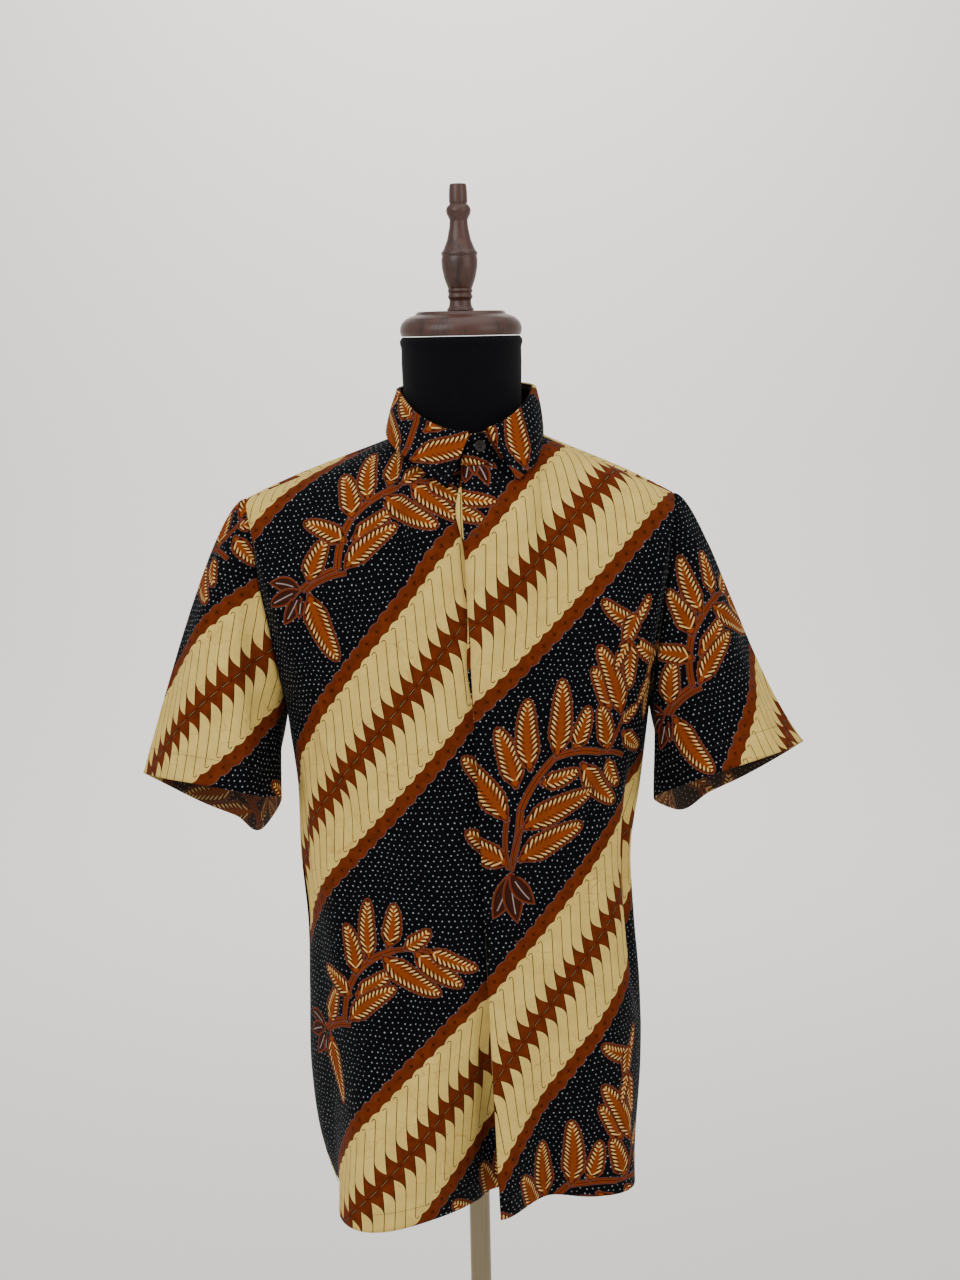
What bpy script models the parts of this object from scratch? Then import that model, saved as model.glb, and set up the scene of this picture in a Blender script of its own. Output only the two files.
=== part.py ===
"""Short-sleeve shirt on a limbless dress form with a turned wooden neck cap, on a pole with a round base.

Metres, +Z up, the shirt's front towards -Y, the origin under the middle of the base. Every cloth piece
is a loft through sections worked out from the garment's sizes. Heights on the garment are given as a
drop: the distance below the underside of the wooden neck cap.
"""

import math
from collections import namedtuple

import bmesh
import bpy
import numpy as np
from mathutils import Vector

# Driving sizes
CAP_HEIGHT = 1.500  # underside of the neck cap above the floor
CLOTH = 0.0012  # wall of one layer of shirting
SEAM = 0.0005  # gap left between two pieces at a seam
HEM_DROP = 0.836
CHEST_DROP = 0.370  # the panels spread to neck, shoulder and armhole above this
ROUNDNESS = 2.4  # exponent of the body's sections: 2 is an ellipse

# Body of the shirt: half width to each side, depth to the front and to the back
Section = namedtuple("Section", "drop left right front back seam_left seam_right")
BODY = (
    Section(0.370, 0.1755, 0.1745, 0.119, 0.120, 0.000, 0.000),
    Section(0.430, 0.1700, 0.1670, 0.119, 0.121, -0.003, 0.002),
    Section(0.500, 0.1690, 0.1575, 0.117, 0.119, -0.008, 0.004),
    Section(0.570, 0.1640, 0.1600, 0.114, 0.116, -0.012, 0.007),
    Section(0.640, 0.1650, 0.1650, 0.112, 0.113, -0.017, 0.010),
    Section(0.720, 0.1660, 0.1650, 0.110, 0.111, -0.022, 0.014),
    Section(0.800, 0.1560, 0.1590, 0.107, 0.108, -0.028, 0.018),
    Section(HEM_DROP, 0.1450, 0.1570, 0.104, 0.106, -0.032, 0.020),
)

# Neckline, seen from above an oval round the form's neck: 0 degrees is the front, 90 the shirt's right
# side as seen, and the drop eases from one of these to the next
NECK_CENTRE_X = 0.004
NECK_HALF_WIDTH = 0.0685
NECK_FRONT = 0.082
NECK_BACK = 0.066
NECK_DROP_FRONT = 0.118
NECK_DROP_SIDE = 0.093
NECK_DROP_BACK = 0.084
SEAM_ANGLE = 84.0  # the shoulder seam meets the neckline a little in front of the ridge

# Armhole: half a loop in front and half behind, from the underarm up to the shoulder tip
Arm = namedtuple("Arm", "way out front back drop")
ARMHOLE = (
    Arm(0.00, 0.0000, 0.000, 0.000, 1.00),
    Arm(0.22, 0.0020, 0.042, 0.046, 0.80),
    Arm(0.45, 0.0090, 0.056, 0.062, 0.56),
    Arm(0.70, 0.0190, 0.048, 0.054, 0.30),
    Arm(0.88, 0.0250, 0.026, 0.028, 0.09),
    Arm(1.00, 0.0290, 0.004, -0.004, 0.00),
)
UNDERARM_DROP = 0.360
Side = namedtuple("Side", "sign underarm tip tip_drop")
LEFT = Side(-1, 0.1770, 0.2085, 0.150)
RIGHT = Side(1, 0.1760, 0.2005, 0.153)

# Front opening: the edge of the upper layer leans from the neck to the hem; the lower layer passes under
EDGE_TOP_X = -0.002
EDGE_HEM_X = 0.020
OVERLAP = 0.028
UNDER = 0.0054  # how far the lower layer is set in, with the strip between
STRIP_UNDER = 0.0020
STRIP_BACK = 0.022
STRIP_WALL = 0.0010
STRIP_SHORT = 0.030  # the strip ends this far above the hem
SET_IN_FROM = 0.022  # the lower layer is back in its own plane this far beyond the opening's edge
SET_IN_OVER = 0.020
Peek = namedtuple("Peek", "out drop length")  # where the strip's edge shows beyond the opening's
PEEKS = (Peek(0.0062, 0.158, 0.022), Peek(0.0035, 0.300, 0.030))

# Folds: a soft ridge (push above 0) or trough along a line on one panel. "along" is the distance from
# the opening's edge, or from the back's centre line. A hem fold grows down to the hem, a passing one
# fades at both ends.
Fold = namedtuple("Fold", "panel along lean start end push width kind")
FOLDS = (
    Fold("left", 0.090, 0.020, 0.500, HEM_DROP, 0.056, 0.046, "hem"),
    Fold("left", -0.004, 0.000, 0.580, HEM_DROP, -0.044, 0.036, "hem"),
    Fold("left", 0.170, 0.000, 0.560, HEM_DROP, -0.008, 0.026, "hem"),
    Fold("left", 0.205, 0.010, 0.375, 0.600, -0.008, 0.018, "passing"),
    Fold("right", 0.000, 0.000, 0.600, HEM_DROP, 0.020, 0.022, "hem"),
    Fold("right", 0.058, 0.000, 0.560, HEM_DROP, -0.026, 0.032, "hem"),
    Fold("right", 0.125, 0.010, 0.600, HEM_DROP, 0.010, 0.026, "hem"),
    Fold("right", 0.172, 0.010, 0.375, 0.680, -0.019, 0.015, "passing"),
    Fold("back", -0.085, -0.010, 0.450, HEM_DROP, 0.016, 0.030, "hem"),
    Fold("back", -0.020, 0.000, 0.450, HEM_DROP, -0.012, 0.030, "hem"),
    Fold("back", 0.045, 0.000, 0.450, HEM_DROP, 0.014, 0.028, "hem"),
    Fold("back", 0.115, 0.010, 0.450, HEM_DROP, -0.012, 0.024, "hem"),
)

# Sleeve openings: points round each hem, from the outer fold over the front to the underarm seam and
# back behind. "way" is 0 at the outer fold, 0.5 at the underarm seam.
Rim = namedtuple("Rim", "way x y drop")
SLEEVE_RIM = {
    "left": (
        Rim(0.00, -0.3170, -0.030, 0.412),
        Rim(0.13, -0.2870, -0.075, 0.408),
        Rim(0.25, -0.2390, -0.092, 0.413),
        Rim(0.38, -0.1960, -0.076, 0.427),
        Rim(0.44, -0.1820, -0.044, 0.437),
        Rim(0.50, -0.2070, 0.014, 0.480),
        Rim(0.62, -0.2380, 0.040, 0.474),
        Rim(0.75, -0.2720, 0.045, 0.461),
        Rim(0.89, -0.3050, 0.014, 0.433),
        Rim(1.00, -0.3170, -0.030, 0.412),
    ),
    "right": (
        Rim(0.00, 0.3270, -0.010, 0.398),
        Rim(0.13, 0.2940, -0.060, 0.398),
        Rim(0.25, 0.2480, -0.082, 0.407),
        Rim(0.38, 0.2020, -0.076, 0.424),
        Rim(0.44, 0.1765, -0.042, 0.444),
        Rim(0.50, 0.2050, 0.024, 0.473),
        Rim(0.62, 0.2420, 0.050, 0.462),
        Rim(0.75, 0.2780, 0.052, 0.446),
        Rim(0.89, 0.3130, 0.028, 0.419),
        Rim(1.00, 0.3270, -0.010, 0.398),
    ),
}
# How the sleeve leaves the armhole and reaches its hem: direction times reach, x given outwards
Leave = namedtuple("Leave", "way out y z hem_out hem_y hem_z")
SLEEVE_FLOW = {
    "left": (
        Leave(0.00, 0.085, 0.000, 0.012, 0.075, -0.030, -0.240),
        Leave(0.25, 0.105, -0.045, -0.100, 0.030, -0.050, -0.170),
        Leave(0.44, 0.016, -0.018, -0.100, 0.000, -0.020, -0.080),
        Leave(0.50, 0.014, 0.000, -0.100, 0.020, -0.010, -0.110),
        Leave(0.75, 0.105, 0.050, -0.100, 0.050, -0.030, -0.190),
        Leave(1.00, 0.085, 0.000, 0.012, 0.075, -0.030, -0.240),
    ),
    "right": (
        Leave(0.00, 0.080, 0.000, 0.004, 0.160, -0.030, -0.200),
        Leave(0.25, 0.090, -0.045, -0.110, 0.080, -0.050, -0.150),
        Leave(0.44, 0.016, -0.018, -0.100, 0.000, -0.020, -0.090),
        Leave(0.50, 0.014, 0.000, -0.100, 0.020, -0.010, -0.110),
        Leave(0.75, 0.095, 0.050, -0.110, 0.090, -0.030, -0.170),
        Leave(1.00, 0.080, 0.000, 0.004, 0.160, -0.030, -0.200),
    ),
}

# Collar: the stand rises from the neckline, the fall rolls over its top edge and ends in two points
STAND_TOP_IN = 0.0050
STAND_FRONT_HEIGHT = 0.029
STAND_SIDE_HEIGHT = 0.043
STAND_BACK_HEIGHT = 0.038
STAND_END_UNDER = 0.0024  # how far the lower end passes under the upper one
STAND_LAP_FROM = 14.0  # degrees before the upper end's edge, and over how many it goes under
STAND_LAP_OVER = 12.0
STAND_CORNER = (0.0, 0.0, 0.35, 0.85)  # share of a cell cut off the upper end, from the seam up
FALL_BOW = 0.0012
Roll = namedtuple("Roll", "out up")  # the fall's way over the stand's top edge, from inside to outside
FALL_ROLL = (Roll(-0.0010, 0.0018), Roll(0.0006, 0.0030), Roll(0.0032, 0.0016))
FALL_START = Roll(0.0040, -0.0020)
Leaf = namedtuple("Leaf", "way angle x y drop")
FALL_EDGE = (
    Leaf(0.000, 1.0, -0.0150, -0.0985, 0.1370),
    Leaf(0.090, -27.0, -0.0400, -0.0890, 0.1180),
    Leaf(0.170, -60.0, -0.0640, -0.0600, 0.1010),
    Leaf(0.260, -87.0, -0.0735, -0.0180, 0.0885),
    Leaf(0.340, -120.0, -0.0690, 0.0330, 0.0875),
    Leaf(0.520, -180.0, 0.0020, 0.0775, 0.0890),
    Leaf(0.700, -238.0, 0.0715, 0.0330, 0.0880),
    Leaf(0.780, -271.0, 0.0765, -0.0160, 0.0900),
    Leaf(0.850, -296.0, 0.0735, -0.0480, 0.1030),
    Leaf(0.930, -322.0, 0.0660, -0.0720, 0.1180),
    Leaf(1.000, -343.0, 0.0500, -0.0890, 0.1320),
)
BUTTON_RADIUS = 0.0053
BUTTON_THICKNESS = 0.0026
BUTTON_X = 0.0160
BUTTON_DROP = 0.1015
BUTTON_CLEAR = 0.0009

# Dress form: half width, depth to the front and to the back, and the section's exponent, which is lower
# at the shoulders. The shirt rests on the ridge of the shoulders.
Form = namedtuple("Form", "drop side front back roundness")
FORM = (
    Form(0.0000, 0.0565, 0.0565, 0.0565, 2.0),
    Form(0.0120, 0.0570, 0.0570, 0.0570, 2.0),
    Form(0.0600, 0.0565, 0.0570, 0.0575, 2.0),
    Form(0.0880, 0.0575, 0.0580, 0.0570, 2.0),
    Form(0.0980, 0.0625, 0.0590, 0.0575, 1.8),
    Form(0.1054, 0.0850, 0.0600, 0.0585, 1.5),
    Form(0.1132, 0.1090, 0.0640, 0.0610, 1.5),
    Form(0.1213, 0.1290, 0.0680, 0.0640, 1.5),
    Form(0.1289, 0.1445, 0.0720, 0.0680, 1.5),
    Form(0.1400, 0.1570, 0.0780, 0.0730, 1.6),
    Form(0.1580, 0.1640, 0.0840, 0.0790, 1.8),
    Form(0.1760, 0.1670, 0.0880, 0.0820, 2.0),
    Form(0.2100, 0.1690, 0.0950, 0.0870, 2.2),
    Form(0.2700, 0.1650, 0.1050, 0.0960, 2.3),
    Form(0.3400, 0.1560, 0.1080, 0.1030, 2.3),
    Form(0.4400, 0.1420, 0.1040, 0.0980, 2.3),
    Form(0.5200, 0.1330, 0.0980, 0.0900, 2.3),
    Form(0.6000, 0.1360, 0.0920, 0.0920, 2.3),
    Form(0.6800, 0.1400, 0.0850, 0.0950, 2.3),
    Form(0.7000, 0.1360, 0.0810, 0.0920, 2.3),
)
FORM_DROP = 0.700
FORM_TURNS = 32

# Turned wood and metal: radius against height, from the top down
FINIAL = (
    (0.0000, 0.1415), (0.0074, 0.1415), (0.0080, 0.1400), (0.0086, 0.1245), (0.0080, 0.1228),
    (0.0108, 0.1202), (0.0119, 0.1168), (0.0108, 0.1128), (0.0083, 0.1080), (0.0090, 0.1010),
    (0.0112, 0.0900), (0.0150, 0.0805), (0.0171, 0.0780), (0.0172, 0.0756), (0.0164, 0.0740),
    (0.0171, 0.0700), (0.0168, 0.0640), (0.0148, 0.0540), (0.0116, 0.0452), (0.0112, 0.0440),
    (0.0122, 0.0424), (0.0112, 0.0400), (0.0110, 0.0386), (0.0121, 0.0366), (0.0110, 0.0344),
    (0.0102, 0.0330), (0.0108, 0.0280), (0.0129, 0.0242), (0.0129, 0.0236), (0.0000, 0.0236),
)
CAP = (
    (0.0000, 0.0232), (0.0410, 0.0232), (0.0420, 0.0220), (0.0440, 0.0196), (0.0500, 0.0172),
    (0.0552, 0.0140), (0.0574, 0.0104), (0.0580, 0.0070), (0.0576, 0.0030), (0.0568, 0.0003),
    (0.0000, 0.0003),
)
TURNED_STEPS = 24
POLE_RADIUS = 0.0105
BASE_RADIUS = 0.160
BASE_HEIGHT = 0.008
SOCKET_RADIUS = 0.0190
SOCKET_HEIGHT = 0.045
SOCKET_FOOT = (0.006, 0.004)  # width and height of the slope at the socket's foot
BASE_FALL = 0.001  # the plate's top falls this much to its rim
METAL_RIM = 0.002
TOUCH = 0.0003

# Cells of the panels: from the opening or the middle of the back to the neckline's end, along the
# shoulder and down the armhole; rows below and above the chest; then the sleeves and the collar
FRONT_CELLS = (4, 6, 8)
BACK_CELLS = (4, 5, 5)
LOW_ROWS = 12
HIGH_ROWS = 8
SLEEVE_CELLS = (26, 9)
COLLAR_COLUMNS = 37
STAND_ROWS = 3
FALL_ROWS = 4
FINE_STEPS = 160  # steps of a front's section before it is spaced out again, and of the back's
FINE_BACK_STEPS = 240
BACK_FULLNESS = 1.12  # how far the back bows out on its way up, against the fronts' 1
JUST_BELOW = 0.02  # distance over which a panel's slope at the chest is taken

# Colours, sRGB, and surface of each material: roughness and metallic
Finish = namedtuple("Finish", "colour roughness metallic")
FINISHES = {
    "batik cotton": Finish("#5a2f14", 0.85, 0.0),
    "batik cotton, pale": Finish("#c7b27c", 0.85, 0.0),
    "button horn": Finish("#17130f", 0.35, 0.0),
    "black jersey": Finish("#0a0a10", 0.95, 0.0),
    "stained hardwood": Finish("#4a3024", 0.38, 0.0),
    "brushed steel": Finish("#9a9184", 0.30, 1.0),
}


def smooth(xs, ys, at):
    """Values at the places asked, on a smooth curve through the given ones."""
    xs = np.asarray(xs, float)
    ys = np.asarray(ys, float)
    at = np.clip(np.asarray(at, float), xs[0], xs[-1])
    slopes = np.gradient(ys, xs, axis=0)
    low = np.clip(np.searchsorted(xs, at, side="right") - 1, 0, len(xs) - 2)
    step = xs[low + 1] - xs[low]
    t = (at - xs[low]) / step
    if ys.ndim > 1:
        t, step = t[..., None], step[..., None]
    return (
        (1 + 2 * t) * (1 - t) ** 2 * ys[low]
        + t * (1 - t) ** 2 * step * slopes[low]
        + t * t * (3 - 2 * t) * ys[low + 1]
        + t * t * (t - 1) * step * slopes[low + 1]
    )


def column(table, *names):
    """One or more named columns of a table, as an array."""
    values = np.array([[getattr(row, name) for name in names] for row in table], float)
    return values[:, 0] if len(names) == 1 else values


def spaced(points, places):
    """Points at the given fractions of the length of a polyline."""
    steps = np.linalg.norm(np.diff(points, axis=0), axis=1)
    along = np.concatenate([[0], np.cumsum(steps)])
    at = np.asarray(places) * along[-1]
    return np.stack([np.interp(at, along, points[:, k]) for k in range(3)], axis=1)


def power(value, exponent):
    """A power that keeps the value's sign."""
    return math.copysign(abs(value) ** exponent, value)


def oval(angle, row, drop):
    """Point of a body section: 0 is the front, a quarter turn the shirt's side at +X."""
    side = row.right if math.sin(angle) > 0 else row.left
    depth = row.front if math.cos(angle) > 0 else row.back
    return (
        side * power(math.sin(angle), 2 / ROUNDNESS),
        -depth * power(math.cos(angle), 2 / ROUNDNESS),
        CAP_HEIGHT - drop,
    )


def body_row(drop):
    """The body's section at any drop."""
    return Section(drop, *smooth(column(BODY, "drop"), column(BODY, *Section._fields[1:]), drop))


def edge_x(drop):
    """X of the opening's edge, which leans."""
    return EDGE_TOP_X + (EDGE_HEM_X - EDGE_TOP_X) * (drop - NECK_DROP_FRONT) / (HEM_DROP - NECK_DROP_FRONT)


def side_angle(row, sign):
    """Angle of a section's side seam, which lies a little before or behind the widest place."""
    seam = row.seam_right if sign > 0 else row.seam_left
    depth = row.back if seam > 0 else row.front
    return sign * (math.pi / 2 + math.asin(power(seam / depth, ROUNDNESS / 2)))


def pushed(points, start_along, drop, panel):
    """A section moved out and in by the panel's folds, along its own normals."""
    steps = np.linalg.norm(np.diff(points, axis=0), axis=1)
    along = start_along + np.concatenate([[0], np.cumsum(steps)])
    tangent = np.gradient(points[:, :2], axis=0)
    normal = np.stack([tangent[:, 1], -tangent[:, 0]], axis=1)
    normal /= np.linalg.norm(normal, axis=1)[:, None]
    outward = np.sign((normal * points[:, :2]).sum())
    total = np.zeros(len(points))
    for fold in FOLDS:
        if fold.panel != panel:
            continue
        down = (drop - fold.start) / (fold.end - fold.start)
        if not 0 < down <= 1:
            continue
        strength = down**1.5 if fold.kind == "hem" else math.sin(math.pi * down) ** 1.2
        centre = fold.along + fold.lean * down
        total += fold.push * strength * np.exp(-(((along - centre) / fold.width) ** 2))
    moved = points.copy()
    moved[:, :2] += outward * normal * total[:, None]
    return moved


def front_section(drop, side, start_x, places, panel):
    """One level of a front: from the opening round to the side seam."""
    row = body_row(drop)
    half = row.right if start_x > 0 else row.left
    start = math.asin(power(start_x / half, ROUNDNESS / 2))
    angles = np.linspace(start, side_angle(row, side.sign), FINE_STEPS)
    points = np.array([oval(angle, row, drop) for angle in angles])
    shift = (start_x - edge_x(drop)) * side.sign
    return spaced(pushed(points, shift, drop, panel), places)


def back_section(drop, places):
    """One level of the back: from the left side seam round to the right one, as seen from the front."""
    row = body_row(drop)
    left = 2 * math.pi + side_angle(row, -1)
    right = side_angle(row, 1)
    angles = np.linspace(left, right, FINE_BACK_STEPS)
    points = np.array([oval(angle, row, drop) for angle in angles])
    length = np.linalg.norm(np.diff(points, axis=0), axis=1).sum()
    return spaced(pushed(points, -length / 2, drop, "back"), places)


def neck_point(angle, inset=0.0):
    """Point of the neckline at an angle in degrees."""
    turn = math.radians(angle)
    depth = NECK_FRONT if math.cos(turn) > 0 else NECK_BACK
    front = max(0.0, math.cos(turn)) ** 1.5 * (NECK_DROP_FRONT - NECK_DROP_SIDE)
    back = max(0.0, -math.cos(turn)) ** 1.5 * (NECK_DROP_SIDE - NECK_DROP_BACK)
    return np.array([
        NECK_CENTRE_X + (NECK_HALF_WIDTH - inset) * math.sin(turn),
        -(depth - inset) * math.cos(turn),
        CAP_HEIGHT - (NECK_DROP_SIDE + front - back),
    ])


def neck_angle(x):
    """Angle in degrees of the neckline's front at an X."""
    return math.degrees(math.asin((x - NECK_CENTRE_X) / NECK_HALF_WIDTH))


def armhole(side, way, behind):
    """Points of the armhole, from the underarm (0) up to the shoulder tip (1)."""
    ways = column(ARMHOLE, "way")
    out = smooth(ways, column(ARMHOLE, "out"), way) / ARMHOLE[-1].out
    depth = smooth(ways, column(ARMHOLE, "back" if behind else "front"), way)
    fall = smooth(ways, column(ARMHOLE, "drop"), way)
    x = side.underarm + (side.tip - side.underarm) * out
    drop = side.tip_drop + (UNDERARM_DROP - side.tip_drop) * fall
    return np.stack([side.sign * x, depth if behind else -depth, CAP_HEIGHT - drop], axis=-1)


# Where along a panel's top edge the neckline ends and the armhole begins
NECK_END = 0.27
SHOULDER_END = 0.62


def top_places(cells):
    """Fractions across a panel, so that a column meets each corner of its top edge."""
    neck, shoulder, arm = cells
    return np.concatenate([
        np.linspace(0, NECK_END, neck + 1)[:-1],
        np.linspace(NECK_END, SHOULDER_END, shoulder + 1)[:-1],
        np.linspace(SHOULDER_END, 1, arm + 1),
    ])


def top_edge(side, places, start_angle, behind):
    """Top edge of half a panel: neckline, shoulder seam, then down the armhole."""
    seam_angle = side.sign * SEAM_ANGLE
    if behind:
        start_angle = side.sign * 180.0
    tip = armhole(side, 1.0, behind)
    neck_side = neck_point(seam_angle)
    points = []
    for place in places:
        if place <= NECK_END:
            part = place / NECK_END
            points.append(neck_point(start_angle + (seam_angle - start_angle) * part))
        elif place <= SHOULDER_END:
            part = (place - NECK_END) / (SHOULDER_END - NECK_END)
            points.append(neck_side + (tip - neck_side) * part)
        else:
            part = (place - SHOULDER_END) / (1 - SHOULDER_END)
            points.append(armhole(side, 1 - part, behind))
    return np.array(points)


def top_run(side, places, start_angle, behind):
    """Direction in which the cloth reaches its top edge."""
    seam_angle = side.sign * SEAM_ANGLE
    if behind:
        start_angle = side.sign * 180.0
    turned_away = np.abs(start_angle + (seam_angle - start_angle) * np.clip(places / NECK_END, 0, 1))
    if behind:
        neck = smooth([SEAM_ANGLE, 180], [(0, -0.98, -0.14), (0, -0.5, 0.87)], turned_away)
        runs = [(0, -0.98, -0.14), (0.05, -0.98, -0.14), (0.3, -0.15, 0.94), (0.05, 0, 1)]
    else:
        neck = smooth([0, SEAM_ANGLE], [(0, 0.5, 0.87), (0, 0.98, 0.14)], turned_away)
        runs = [(0, 0.98, 0.14), (-0.05, 0.98, 0.14), (0.3, 0.15, 0.94), (0.05, 0, 1)]
    rest = smooth([NECK_END, SHOULDER_END, 0.5 * (SHOULDER_END + 1), 1], runs, places)
    run = np.where((places <= NECK_END)[:, None], neck, rest)
    run /= np.linalg.norm(run, axis=1)[:, None]
    run[:, 0] *= side.sign
    return run


def risen(low, below, high, run, rows, reach):
    """Rows of cloth that rise from a level section to the panel's top edge."""
    start = low - below
    start /= np.linalg.norm(start, axis=1)[:, None]
    length = np.linalg.norm(high - low, axis=1)[:, None] * reach
    levels = []
    for t in np.linspace(0, 1, rows + 1)[1:]:
        levels.append(
            (1 + 2 * t) * (1 - t) ** 2 * low
            + t * (1 - t) ** 2 * start * length
            + t * t * (3 - 2 * t) * high
            + t * t * (t - 1) * run * length
        )
    return levels


def eased(value):
    """A value from 0 to 1, made to start and end softly."""
    value = np.clip(value, 0, 1)
    return value * value * (3 - 2 * value)


def front_grid(side, panel):
    """Grid of a front: rows from the hem up, columns from the opening to the side seam."""
    places = top_places(FRONT_CELLS)
    extra = OVERLAP if panel == "left" else 0.0
    start = neck_angle(EDGE_TOP_X + extra)
    drops = np.linspace(HEM_DROP, CHEST_DROP, LOW_ROWS + 1)
    rows = [front_section(drop, side, edge_x(drop) + extra, places, panel) for drop in drops]
    low = rows[-1]
    lower = CHEST_DROP + JUST_BELOW
    below = front_section(lower, side, edge_x(lower) + extra, places, panel)
    high = top_edge(side, places, start, False)
    rows += risen(low, below, high, top_run(side, places, start, False), HIGH_ROWS, 1.0)
    return np.array(rows)


def back_grid():
    """Grid of the back: rows from the hem up, columns from the left seam to the right one."""
    half = top_places(BACK_CELLS)
    places = np.concatenate([(1 - half[::-1]) / 2, (1 + half[1:]) / 2])
    drops = np.linspace(HEM_DROP, CHEST_DROP, LOW_ROWS + 1)
    rows = [back_section(drop, places) for drop in drops]
    below = back_section(CHEST_DROP + JUST_BELOW, places)
    high = np.concatenate([
        top_edge(LEFT, half, 0, True)[::-1],
        top_edge(RIGHT, half, 0, True)[1:],
    ])
    run = np.concatenate([top_run(LEFT, half, 0, True)[::-1], top_run(RIGHT, half, 0, True)[1:]])
    rows += risen(rows[-1], below, high, run, HIGH_ROWS, BACK_FULLNESS)
    return np.array(rows)


def normals(grid):
    """Unit normals of a grid of points."""
    across = np.gradient(grid, axis=1)
    along = np.gradient(grid, axis=0)
    normal = np.cross(across, along)
    return normal / np.linalg.norm(normal, axis=2)[:, :, None]


def drawn_in(grid, amount, sides):
    """The grid with the rims named moved in by an amount, for the gap at a seam."""
    grid = grid.copy()
    for rim, inner in sides:
        step = grid[inner] - grid[rim]
        grid[rim] += step / np.linalg.norm(step, axis=-1)[..., None] * amount
    return grid


FIRST_ROW, SECOND_ROW = np.s_[0, :], np.s_[1, :]
LAST_ROW, NEXT_ROW = np.s_[-1, :], np.s_[-2, :]
FIRST_COLUMN, SECOND_COLUMN = np.s_[:, 0], np.s_[:, 1]
LAST_COLUMN, NEXT_COLUMN = np.s_[:, -1], np.s_[:, -2]


def linear(colour):
    """Linear colour of an sRGB hex one."""
    parts = [int(colour[i : i + 2], 16) / 255 for i in (1, 3, 5)]
    return [p / 12.92 if p <= 0.04045 else ((p + 0.055) / 1.055) ** 2.4 for p in parts] + [1.0]


def material(name):
    """The named material, made once."""
    if name in bpy.data.materials:
        return bpy.data.materials[name]
    finish = FINISHES[name]
    made = bpy.data.materials.new(name)
    made.use_nodes = True
    shader = made.node_tree.nodes["Principled BSDF"]
    shader.inputs["Base Color"].default_value = linear(finish.colour)
    shader.inputs["Roughness"].default_value = finish.roughness
    shader.inputs["Metallic"].default_value = finish.metallic
    made.diffuse_color = linear(finish.colour)
    return made


def added(name, mesh, finish):
    """An object of a mesh in the part's collection, shaded smooth, with its material."""
    mesh.materials.append(material(finish))
    mesh.shade_smooth()
    mesh.set_sharp_from_angle(angle=math.radians(50))
    made = bpy.data.objects.new(name, mesh)
    PART.objects.link(made)
    return made


def cloth(name, grid, finish="batik cotton", wall=CLOTH, closed=False, outward=1):
    """A wall of cloth on a grid of points, its thickness set inwards."""
    rows, columns = grid.shape[:2]
    mesh = bmesh.new()
    made = [[mesh.verts.new(point) for point in row] for row in grid]
    for i in range(rows - 1):
        for j in range(columns if closed else columns - 1):
            k = (j + 1) % columns
            corners = [made[i][j], made[i][k], made[i + 1][k], made[i + 1][j]]
            mesh.faces.new(corners if outward > 0 else corners[::-1])
    data = bpy.data.meshes.new(name)
    mesh.to_mesh(data)
    mesh.free()
    sheet = added(name, data, finish)
    solid = sheet.modifiers.new("wall", "SOLIDIFY")
    solid.thickness = wall
    solid.offset = -1
    solid.use_even_offset = False
    return sheet


def turned(name, profile, finish, height=CAP_HEIGHT):
    """A turned piece: its profile, from the top down, spun round the upright axis."""
    mesh = bmesh.new()
    points = [mesh.verts.new((radius, 0, height + z)) for radius, z in profile]
    for upper, lower in zip(points, points[1:]):
        mesh.edges.new((upper, lower))
    data = bpy.data.meshes.new(name)
    mesh.to_mesh(data)
    mesh.free()
    piece = added(name, data, finish)
    spin = piece.modifiers.new("turn", "SCREW")
    spin.steps = spin.render_steps = TURNED_STEPS
    spin.use_merge_vertices = True
    spin.merge_threshold = 0.0001
    spin.use_smooth_shade = True
    return piece


def fronts():
    """Two fronts: the right one, as seen, lies over the left one along the opening."""
    right = front_grid(RIGHT, "right")
    seams = [(LAST_COLUMN, NEXT_COLUMN), (LAST_ROW, NEXT_ROW)]
    cloth("front_right", drawn_in(right, SEAM / 2, seams))
    left = front_grid(LEFT, "left")
    under = eased((left[:, :, 0] - edge_x(CAP_HEIGHT - left[:, :, 2]) + SET_IN_FROM) / SET_IN_OVER)
    left += normals(left) * (UNDER * under)[:, :, None]  # this grid's normals point into the body
    cloth("front_left", drawn_in(left, SEAM / 2, seams), outward=-1)
    return right


def fly_strip(right):
    """The strip inside the opening, whose edge peeks out below the collar and again at the chest."""
    inward = -normals(right) * STRIP_UNDER
    grid = []
    for row, step in zip(right, inward):
        drop = CAP_HEIGHT - row[0, 2]
        if drop > HEM_DROP - STRIP_SHORT:
            continue
        peek = sum(each.out * math.exp(-(((drop - each.drop) / each.length) ** 2)) for each in PEEKS)
        first = row[0] + (row[0] - row[1]) / np.linalg.norm(row[0] - row[1]) * peek
        lengths = np.concatenate([[0], np.cumsum(np.linalg.norm(np.diff(row[:4], axis=0), axis=1))])
        middle = [np.interp(STRIP_BACK * 0.5, lengths, row[:4, k]) for k in range(3)]
        far = [np.interp(STRIP_BACK, lengths, row[:4, k]) for k in range(3)]
        grid.append(np.array([first + step[0], middle + step[1], far + step[1]]))
    cloth("fly_strip", np.array(grid)[:-1], "batik cotton, pale", wall=STRIP_WALL)


def back():
    """The back, one piece, which comes over the shoulders to the seams in front of the ridge."""
    grid = back_grid()
    rims = [(FIRST_COLUMN, SECOND_COLUMN), (LAST_COLUMN, NEXT_COLUMN), (LAST_ROW, NEXT_ROW)]
    cloth("back", drawn_in(grid, SEAM / 2, rims), outward=-1)


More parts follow.
